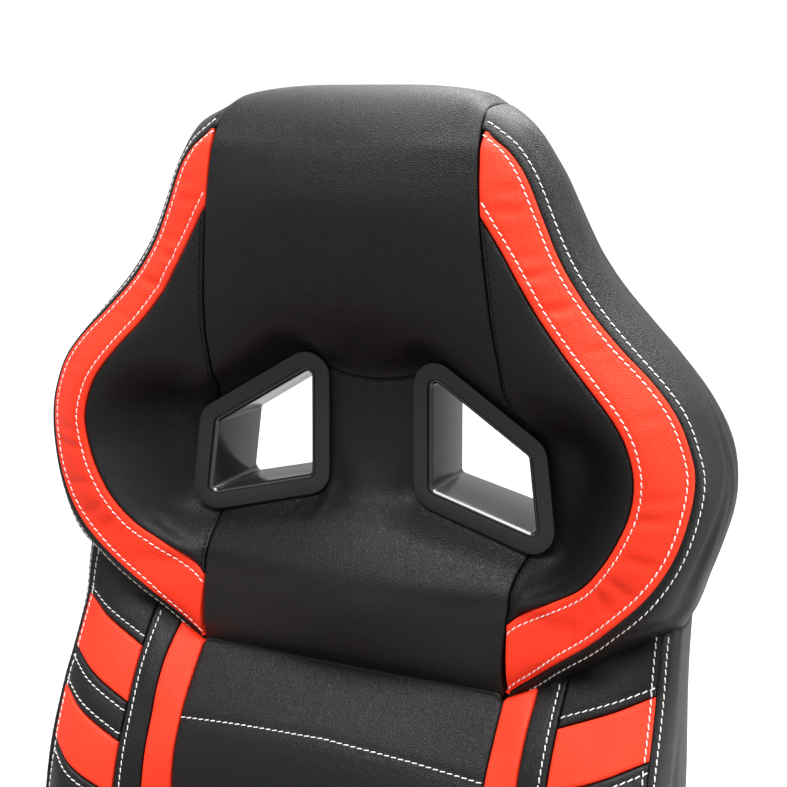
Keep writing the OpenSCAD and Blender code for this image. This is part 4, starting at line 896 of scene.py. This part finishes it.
# The bolster's patches from the top down, black and red by turns, with a slanted row beside each cut
cuts = [height for pair in zip(bolster["redTops"], bolster["redBottoms"]) for height in pair]
slantLines = [slantRow(height + gap) for height, gap in zip(cuts, bolster["slantGaps"])]
ends = [lowerTop] + [slant(height) for height in cuts] + [footOf]
patches, outerRows = {"black": [], "red": []}, {"black": [], "red": []}
for k, (high, low) in enumerate(zip(ends, ends[1:])):
    at, colour = lowerPatch(lower["trimOut"], lower["edge"], low, high), ("black", "red")[k % 2]
    outer = pressedRow(at, "r", bolster["row"])
    pressed = [outer] + [(line, *bolster["slantPress"]) for line in slantLines if colour == "black"]
    seams = "lr" + ("" if k == len(cuts) else "b") + ("" if k == 0 else "t")
    patches[colour].append(pad(layOut(at), seams, pressed=pressed, tuck=underWing if k == 0 else None,
                               **bolster["padding"]))
    outerRows[colour].append(outer[0])

flat = layOut(sideSurface, sidePanel["step"])
sideRow = insetLine(flat, "l", sidePanel["row"])
sideGrid = pad(flat, "lr", pressed=[pressedRow(sideSurface, "l", sidePanel["row"], sidePanel["rowDepth"])],
               **sidePanel["padding"])
for side in ("right", "left"):
    makeCover("lower_stripe_cover", "backrest", "red", [stripeGrid], ["lower_stripe"], side)
    makeCover("bolster_insert", "backrest", "red", patches["red"], (), side, outerRows["red"])
    makeCover("bolster_cover", "backrest", "black", patches["black"] + [trimGrid], ["back_bolster"], side,
              [trimRow[0]] + slantLines + outerRows["black"], fill=0.65)
    makeCover("lower_side_cover", "backrest", "black", [sideGrid], (), side, [sideRow], fill=0.5)

# The closing cloths under the backrest and under the cushion
closing = {"half": 199, "lift": 1.5, "front": 3, "rear": 85, "step": 8, "fill": 0.2}


def underBack(s, t):
    x = (1 - 2 * s) * closing["half"]
    z = footOf(x) + closing["lift"]
    return stacked(x, mix(lowerFront(x, z) + closing["front"], closing["rear"], t), z)


def closingCloth(name, at, toWorld, body, foam, **padding):
    grid = pad(layOut(at, closing["step"]), "lrbt", **padding)
    dress(sew(name, [grid], toWorld, feltFinish, levels=0), body, "foam", foam, fill=closing["fill"])


closingCloth("lower_closing_cloth", underBack, backToWorld, "backrest", "back_foam_lower", crown=0.4, hem=2,
             rollDepth=0.5)
print("lower covers sewn")

# Cushion: heights [depth, height] of the lines that run from front to rear, and half its width
cushion = {"base": 104.0, "sideTop": 57.0, "foot": 10.0, "footIn": 5, "edgeIn": 8, "crestIn": 42, "panelIn": 118,
           "bolsterIn": 141, "panelRise": 1, "frontMost": -262.6, "cloth": (-250.0, 212.5), "clothIn": 7}
seatCentre = [[-262, 198], [-190, 212], [-100, 202], [0, 194], [100, 188], [180, 183], [232, 180]]
seatStripe = [[-262, 201], [-190, 218], [-100, 214], [0, 208], [70, 198], [110, 187], [232, 180]]
seatCrest = [[-262, 204], [-190, 230], [-110, 245], [-40, 248], [25, 236], [75, 206], [110, 191], [232, 180]]
seatEdge = [[-262, 190], [-190, 208], [-110, 221], [-40, 224], [25, 214], [75, 195], [110, 184], [232, 174]]
seatHalf = [[-262, 206], [-230, 222], [-180, 236], [60, 236], [115, 232], [150, 216], [180, 205], [232, 203]]
# Rows from the foot of the front edge to the rear [index, depth, share of the height]
seatRows = [[0, -257, 0.03], [1, -261, 0.3], [2, -262, 0.6], [3, -257, 0.82], [4, -246, 0.94], [5, -228, 1]]
seatRows += [[k + 6, y, 1] for k, y in enumerate((-205, -180, -150, -120, -90, -60, -30, 0, 30, 55, 80, 105, 130,
                                                  155, 180, 200, 213))]
seatFoot, seatBack = {"b": (0, 6, 0)}, {"t": (0, 0.5, -70)}
seatEnds = {**seatFoot, **seatBack}
seatPanel = {"rowAt": (0.36, 0.56, 0.76), "rowHalf": 117, "rowBow": 0.012, "bowEnd": 1.6, "rowPress": (1.2, 3.0),
             "padding": {"crown": 2.2, "reach": 24, "tuck": seatEnds,
                         "folds": [(60, 150, 30, 40, 9, 0.6), (190, 190, -25, 44, 9, 0.6)]}}
seatBand = {"row": 4.5, "padding": paddingOf(0.8, 8, 3, 1.6, tuck=seatEnds)}
seatSide = {"down": 0.9, "step": 4.5, "row": 4.8, "rowDepth": 0.7, "endTuck": (-4, 3, 0),
            "padding": paddingOf(1.4, 16, 3, 1.6, tuck=seatEnds,
                                 folds=[(30, 120, 75, 40, 8, 0.8), (40, 330, 105, 50, 9, 0.8)])}
seatWing = {"cuts": (0, 0.40, 0.485, 0.535, 0.62, 1), "lean": 0.05, "outerRow": 3.8, "cutRow": 5.4, "cutDepth": 0.7,
            "keys": (0, 0.2, 0.4, 0.6, 0.8, 1, 1.35, 1.9), "padding": paddingOf(1.6, 14, 3, 1.7)}


def seatRow(t):
    q = t * (len(seatRows) - 1)
    return curve(seatRows, q), np.minimum(1, curve(seatRows, q, 2))


def seatTop(x, y):
    w, c, one = curve(seatHalf, y), curve(seatCentre, y), np.ones(len(y))
    columns = (-cushion["panelIn"], 0, cushion["panelIn"], cushion["bolsterIn"])
    keys = [column * one for column in columns] + [w - cushion["crestIn"], w - cushion["edgeIn"]]
    beside = c + cushion["panelRise"]
    values = [beside, c, beside, curve(seatStripe, y), curve(seatCrest, y), curve(seatEdge, y)]
    return hermite(np.stack(keys, 1), np.stack(values, 1), np.abs(x))


def seatPoint(x, y, share):
    return stacked(x, y, cushion["base"] + share * (seatTop(x, y) - cushion["base"]))


def seatStrip(x0, x1):
    def at(s, t):
        y, share = seatRow(t)
        return seatPoint(mix(x0, x1, s), y, share)
    return at


def seatBolster(u, t):
    # u from 0 to 1 over the top of the bolster, and on past 1 down its side
    y, share = seatRow(t)
    w = curve(seatHalf, y)
    points = [seatPoint(mix(cushion["bolsterIn"], w - cushion["edgeIn"], k), y, share)
              for k in seatWing["keys"] if k <= 1]
    for x, z in ((w, cushion["sideTop"]), (w - cushion["footIn"], cushion["foot"])):
        points.append(stacked(x, y, cushion["base"] + share * z))
    return through(points, u, seatWing["keys"])


def seatPatch(low, high):
    def at(s, t):
        start, end = (v if v in (0, 1) else v + seatWing["lean"] * (s - 0.5) for v in (low, high))
        return seatBolster(s, mix(start, end, t))
    return at


def seatSideSurface(s, t):
    return seatBolster(1 + seatSide["down"] * s, t)


def seatCrossRow(t):
    bow = seatPanel["rowBow"] * np.cos(np.linspace(-seatPanel["bowEnd"], seatPanel["bowEnd"], 80))
    return seatStrip(-seatPanel["rowHalf"], seatPanel["rowHalf"])(np.linspace(0, 1, 80), np.full(80, t) + bow)


seatLines = [seatCrossRow(t) for t in seatPanel["rowAt"]]
grid = pad(layOut(seatStrip(-cushion["panelIn"], cushion["panelIn"])), "lrb",
           pressed=[(line, *seatPanel["rowPress"]) for line in seatLines], **seatPanel["padding"])
makeCover("seat_centre_cover", "seat", "black", [grid], ["seat_centre_panel"], lines=seatLines, thread="seat",
          fill=0.7)

stripeAt = seatStrip(cushion["panelIn"], cushion["bolsterIn"])
stripeRow = pressedRow(stripeAt, "r", seatBand["row"])
stripeGrid = pad(layOut(stripeAt), "lrb", pressed=[stripeRow], **seatBand["padding"])
flat = layOut(seatSideSurface, seatSide["step"])
sideRow = insetLine(flat, "l", seatSide["row"])
sideGrid = pad(flat, "lb", pressed=[pressedRow(seatSideSurface, "l", seatSide["row"], seatSide["rowDepth"])],
               **seatSide["padding"])
# The side panel runs out to a point at the front foot, so its first rows lie flat and tuck under the cushion
sideGrid[1:4, 1:-1] = flat[:3]
sideGrid[0, 1:-1] = flat[0] + seatFoot["b"]
for outside, inside in ((0, 1), (-1, -2)):
    sideGrid[:4, outside] = sideGrid[:4, inside] + seatSide["endTuck"]
sideGrid[..., 1] = np.maximum(sideGrid[..., 1], cushion["frontMost"])
patches, seatOuter = {"black": [], "red": []}, {"black": [], "red": []}
last = len(seatWing["cuts"]) - 2
for k, (low, high) in enumerate(zip(seatWing["cuts"], seatWing["cuts"][1:])):
    at, colour = seatPatch(low, high), ("black", "red")[k % 2]
    cutSides = "" if colour == "red" else "t" if k == 0 else "b" if k == last else "bt"
    pressed = [pressedRow(at, "r", seatWing["outerRow"])]
    pressed += [pressedRow(at, s, seatWing["cutRow"], seatWing["cutDepth"]) for s in cutSides]
    patches[colour].append(pad(layOut(at), "lrb" + ("" if k == last else "t"), pressed=pressed,
                               tuck={0: seatFoot, last: seatBack}.get(k), **seatWing["padding"]))
    seatOuter[colour] += [line for line, _, _ in pressed]
for side in ("right", "left"):
    makeCover("seat_stripe_cover", "seat", "red", [stripeGrid], ["seat_stripe"], side, [stripeRow[0]], "seat")
    makeCover("seat_insert", "seat", "red", patches["red"], (), side, seatOuter["red"], "seat")
    makeCover("seat_bolster_cover", "seat", "black", patches["black"], ["seat_bolster"], side, seatOuter["black"],
              "seat", fill=0.65)
    makeCover("seat_side_cover", "seat", "black", [sideGrid], (), side, [sideRow], "seat", fill=0.5)


def underSeat(s, t):
    y = mix(*cushion["cloth"], t)
    x = (1 - 2 * s) * (curve(seatHalf, y) - cushion["clothIn"])
    return stacked(x, y, np.full(len(x), cushion["base"]))


closingCloth("seat_dust_cloth", underSeat, seatToWorld, "seat", "seat_foam", crown=0.3, hem=0.4, rollDepth=0.3,
             ripples=0)
print("cushion sewn")

# One stitch: pitch, length and radius in millimetres, sides, slant in degrees, and the most metres off the leather
stitch = {"pitch": 5.2, "length": 4.3, "radius": 0.46, "sides": 6, "slew": 9, "maxGap": 0.012,
          "margins": (0.45, 0.4),
          "rings": [(-0.5, 0.4, -0.5), (-0.34, 0.95, 0.25), (0.34, 0.95, 0.25), (0.5, 0.4, -0.5)]}


def stitchMesh(name, sewn, material, body):
    # Each ring of a stitch stands at a share of its length, with a width and a height in radii
    points, faces, trees = [], [], {}
    n, rings = stitch["sides"], stitch["rings"]
    angles = np.arange(n) * 2 * math.pi / n
    for piece, line, toWorld in sewn:
        if piece.name not in trees:
            mesh = piece.data
            trees[piece.name] = BVHTree.FromPolygons([v.co for v in mesh.vertices], [p.vertices for p in mesh.polygons])
        world = toWorld(line)
        reach = arcLength(world) * 1000
        before, after = (stitch["pitch"] * share for share in stitch["margins"])
        for place in np.arange(before, reach[-1] - after, stitch["pitch"]):
            spotOn, ahead = (Vector([np.interp(place + d, reach, world[:, k]) for k in range(3)]) for d in (0, 1.0))
            spot, normal, _, gap = trees[piece.name].find_nearest(spotOn)
            if spot is None or gap > stitch["maxGap"]:
                continue
            along = ahead - spotOn
            along = (along - normal * along.dot(normal)).normalized()
            side = normal.cross(along)
            along = (along + side * math.sin(math.radians(stitch["slew"]))).normalized()
            side = normal.cross(along)
            first = len(points)
            for at, wide, high in rings:
                middle = spot + along * (at * stitch["length"] / 1000) + normal * (high * stitch["radius"] / 1000)
                r = wide * stitch["radius"] / 1000
                points.extend(middle + side * (r * math.cos(a)) + normal * (r * math.sin(a)) for a in angles)
            for ring in range(len(rings) - 1):
                for k in range(n):
                    a, b = first + ring * n + k, first + ring * n + (k + 1) % n
                    faces.append((a, b, b + n, a + n))
            faces.append(tuple(range(first + n - 1, first - 1, -1)))
            faces.append(tuple(range(first + (len(rings) - 1) * n, first + len(rings) * n)))
    piece = newPiece(name, [tuple(p) for p in points], faces, material, faceOutward)
    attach(piece, body)
    print(name, len(points) // (len(rings) * n), "stitches")


stitchMesh("pale_stitching_back", stitches["pale"], paleThread, "backrest")
stitchMesh("dark_stitching_back", stitches["dark"], darkThread, "backrest")
stitchMesh("pale_stitching_seat", stitches["seat"], paleThread, "seat")

leanMatrix = (Matrix.Translation((0, back["pivotY"] / 1000, back["pivotZ"] / 1000))
              @ Matrix.Rotation(-back["lean"], 4, "X")
              @ Matrix.Translation((0, -back["ownPivotY"] / 1000, back["waist"] / 1000)))
# Bezel trim in metres: face, then [further in, sloping back, straight back] for the groove, the glossy lip and
# the tunnel. What lies behind frontDepth is tunnel. The angles are in degrees, and the lip is in millimetres.
trim = {"rimDrop": 0.0035, "face": 0.0112,
        "steps": [(0, 0, 0.0026), (0.0010, 0, -0.0014), (0.0007, -0.0002, 0), (0.0019, 0.0018, 0.040)],
        "frontDepth": 0.06, "tunnelEnd": 0.0952, "wall": 0.0016, "soften": 0.0006, "softenSteps": 3,
        "softenAngle": 38, "smoothAngle": 40, "cornerPoints": 12, "lip": (1, 4), "faceMargin": 0.2}


def editMode(on):
    bpy.ops.object.mode_set(mode="EDIT" if on else "OBJECT")


def bezelOutline():
    # The rounded outline, one arc of points for each corner
    out = []
    for centre, u, v, half in bezelCentres():
        reach = bezel["radius"] / math.tan(half)
        corner = centre - (u + v) / np.linalg.norm(u + v) * bezel["radius"] / math.sin(half)
        start, end = corner + u * reach - centre, corner + v * reach - centre
        first = math.atan2(start[1], start[0])
        sweep = (math.atan2(end[1], end[0]) - first + math.pi) % (2 * math.pi) - math.pi
        for angle in first + sweep * np.linspace(0, 1, trim["cornerPoints"]):
            out.append(centre + bezel["radius"] * np.array([math.cos(angle), math.sin(angle)]))
    return out


def plateDepth(x):
    return bezel["plate"][0] + bezel["plate"][1] * x


def makeBezel(name):
    bpy.ops.object.select_all(action="DESELECT")
    outline = bezelOutline()
    bpy.ops.mesh.primitive_circle_add(vertices=len(outline), radius=0.05, fill_type="NGON")
    piece = bpy.context.object
    piece.name = piece.data.name = name
    for vertex, (x, z) in zip(piece.data.vertices, outline):
        vertex.co = Vector((x, plateDepth(x), z)) / 1000
    editMode(True)
    bpy.ops.mesh.select_mode(type="FACE")
    bpy.ops.mesh.select_all(action="SELECT")
    bpy.ops.mesh.inset(thickness=trim["face"])
    for width, slope, inward in trim["steps"]:
        if width:
            bpy.ops.mesh.inset(thickness=width)
            bpy.ops.transform.translate(value=(0, slope, 0))
        if inward:
            bpy.ops.mesh.extrude_region_move(TRANSFORM_OT_translate={"value": (0, inward, 0)})
    bpy.ops.mesh.delete(type="FACE")
    editMode(False)
    for v in piece.data.vertices:
        if v.co.y > trim["frontDepth"]:
            v.co.y = trim["tunnelEnd"]
    # The outer rim is drawn back from the loose edge round the face
    counts = {}
    for f in piece.data.polygons:
        for key in f.edge_keys:
            counts[key] = counts.get(key, 0) + 1
    editMode(True)
    bpy.ops.mesh.select_mode(type="EDGE")
    bpy.ops.mesh.select_all(action="DESELECT")
    editMode(False)
    for e in piece.data.edges:
        deepest = max(piece.data.vertices[i].co.y for i in e.vertices)
        e.select = counts[tuple(sorted(e.vertices))] == 1 and deepest < trim["frontDepth"]
    editMode(True)
    bpy.ops.mesh.extrude_region_move(TRANSFORM_OT_translate={"value": (0, trim["rimDrop"], 0)})
    bpy.ops.mesh.select_all(action="SELECT")
    bpy.ops.mesh.normals_make_consistent(inside=False)
    editMode(False)
    if sum(f.normal.y * f.area for f in piece.data.polygons if f.center.y < trim["frontDepth"]) > 0:
        piece.data.flip_normals()
    wall = piece.modifiers.new("wall", "SOLIDIFY")
    wall.thickness, wall.offset = trim["wall"], -1
    soften = piece.modifiers.new("soften", "BEVEL")
    soften.width, soften.segments = trim["soften"], trim["softenSteps"]
    soften.limit_method, soften.angle_limit = "ANGLE", math.radians(trim["softenAngle"])
    applyAll(piece)
    for material in (bezelFace, tunnelGloss, lipGloss):
        piece.data.materials.append(material)
    for f in piece.data.polygons:
        x, y, z = (1000 * value for value in f.center)
        inside, below = bezelDistance(x, z) < -1000 * trim["face"] - trim["faceMargin"], y - plateDepth(x)
        f.material_index = 0 if not inside or below < trim["lip"][0] else 1 if below > trim["lip"][1] else 2
    bpy.context.view_layer.objects.active = piece
    piece.select_set(True)
    bpy.ops.object.shade_smooth_by_angle(angle=math.radians(trim["smoothAngle"]))
    piece.select_set(False)
    return piece


bezelRight = makeBezel("bezel_trim_right")
bezelLeft = bpy.data.objects.new("bezel_trim_left", bezelRight.data.copy())
bpy.context.scene.collection.objects.link(bezelLeft)
bezelLeft.data.transform(Matrix.Scale(-1, 4, (1, 0, 0)))
bezelLeft.data.flip_normals()
for side, piece in (("right", bezelRight), ("left", bezelLeft)):
    piece.data.transform(leanMatrix)
    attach(piece, "backrest")
    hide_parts("bezel_" + side)
print("bezels fitted")

# Camera: place in millimetres and directions in the backrest's own frame, focal length and image size in pixels
view = {"place": (433.144, -831.933, 396.130), "right": (0.902777, 0.430105, 0.001887),
        "down": (0.089828, -0.184252, -0.978766), "ahead": (-0.420625, 0.883776, -0.204973),
        "focal": 1400, "image": 787, "sensor": 36}
# Studio: lamps (place, size, power), the room that reflections find, and the floor
studio = {"lamps": {"overLamp": ((0.1, 0.2, 3.1), (2.4, 2.2), 185), "backLamp": ((0.2, 1.9, 2.4), (2.2, 1.2), 80),
                    "rimLamp": ((2.4, 0.5, 1.2), (1.2, 2.0), 52), "keyLamp": ((-1.3, -2.3, 2.2), (2.2, 2.0), 11),
                    "fillLamp": ((1.3, -2.6, 1.6), (1.8, 1.6), 4)},
          "aim": (0, 0.2, 0.75), "roomTurn": (-0.35, 0.25), "roomLight": (0.50, 0.88), "leastLight": 0.7,
          "floorSize": 60, "floorDrop": 0.0008, "floorGrey": 0.25, "floorRoughness": 0.9, "floorSpecular": 0.1,
          "floorMirror": 0.2, "floorGlow": 0.9}


def leaned(v):
    return (leanMatrix.to_3x3() @ Vector(v)).normalized()


def seenBy(tree, mirrored):
    # One where the camera looks, straight or through glass, and a share where reflections do
    path = tree.nodes.new("ShaderNodeLightPath").outputs
    seen = mathNode(tree, "MAXIMUM", path["Is Camera Ray"], path["Is Transmission Ray"])
    return mathNode(tree, "MAXIMUM", seen, mathNode(tree, "MULTIPLY", path["Is Glossy Ray"], mirrored))


cameraData = bpy.data.cameras.new("camera")
camera = bpy.data.objects.new("camera", cameraData)
bpy.context.scene.collection.objects.link(camera)
cameraData.sensor_fit = "HORIZONTAL"
cameraData.sensor_width = view["sensor"]
cameraData.lens = view["sensor"] * view["focal"] / view["image"]
cameraData.clip_end = 200
turn = Matrix((leaned(view["right"]), -leaned(view["down"]), -leaned(view["ahead"]))).transposed().to_4x4()
camera.matrix_world = Matrix.Translation(leanMatrix @ (Vector(view["place"]) / 1000)) @ turn
bpy.context.scene.camera = camera

for name, (place, size, power) in studio["lamps"].items():
    lamp = bpy.data.lights.new(name, "AREA")
    lamp.shape, lamp.size, lamp.size_y, lamp.energy = "RECTANGLE", size[0], size[1], power
    holder = bpy.data.objects.new(name, lamp)
    bpy.context.scene.collection.objects.link(holder)
    aim = Vector(studio["aim"]) - Vector(place)
    holder.matrix_world = Matrix.Translation(place) @ aim.to_track_quat("-Z", "Y").to_matrix().to_4x4()

# Reflections find the white backdrop behind the seat, and a dimmer room in front of it
world = bpy.data.worlds.new("studio")
bpy.context.scene.world = world
world.use_nodes = True
tree = world.node_tree
toward = tree.nodes.new("ShaderNodeSeparateXYZ")
tree.links.new(tree.nodes.new("ShaderNodeTexCoord").outputs["Generated"], toward.inputs[0])
room = tree.nodes.new("ShaderNodeMapRange")
room.inputs["From Min"].default_value, room.inputs["From Max"].default_value = studio["roomTurn"]
room.inputs["To Min"].default_value, room.inputs["To Max"].default_value = studio["roomLight"]
tree.links.new(toward.outputs[1], room.inputs["Value"])
light = mathNode(tree, "MAXIMUM", seenBy(tree, room.outputs["Result"]), studio["leastLight"])
backdrop = tree.nodes["Background"]
tree.links.new(light, backdrop.inputs["Strength"])
backdrop.inputs["Color"].default_value = (1, 1, 1, 1)

bpy.ops.object.select_all(action="DESELECT")
bpy.ops.mesh.primitive_plane_add(size=studio["floorSize"], location=(0, 0, -studio["floorDrop"]))
floor = bpy.context.object
floor.name = "studio_floor"
floorFinish = bpy.data.materials.new("studioFloor")
floorFinish.use_nodes = True
tree = floorFinish.node_tree
shader = tree.nodes["Principled BSDF"]
shader.inputs["Base Color"].default_value = (*grey(studio["floorGrey"]), 1)
shader.inputs["Roughness"].default_value = studio["floorRoughness"]
shader.inputs["Specular IOR Level"].default_value = studio["floorSpecular"]
shader.inputs["Emission Color"].default_value = (1, 1, 1, 1)
glow = mathNode(tree, "MULTIPLY", seenBy(tree, studio["floorMirror"]), studio["floorGlow"])
tree.links.new(glow, shader.inputs["Emission Strength"])
floor.data.materials.append(floorFinish)

scene = bpy.context.scene
scene.view_settings.view_transform = "Standard"
print("scene ready")
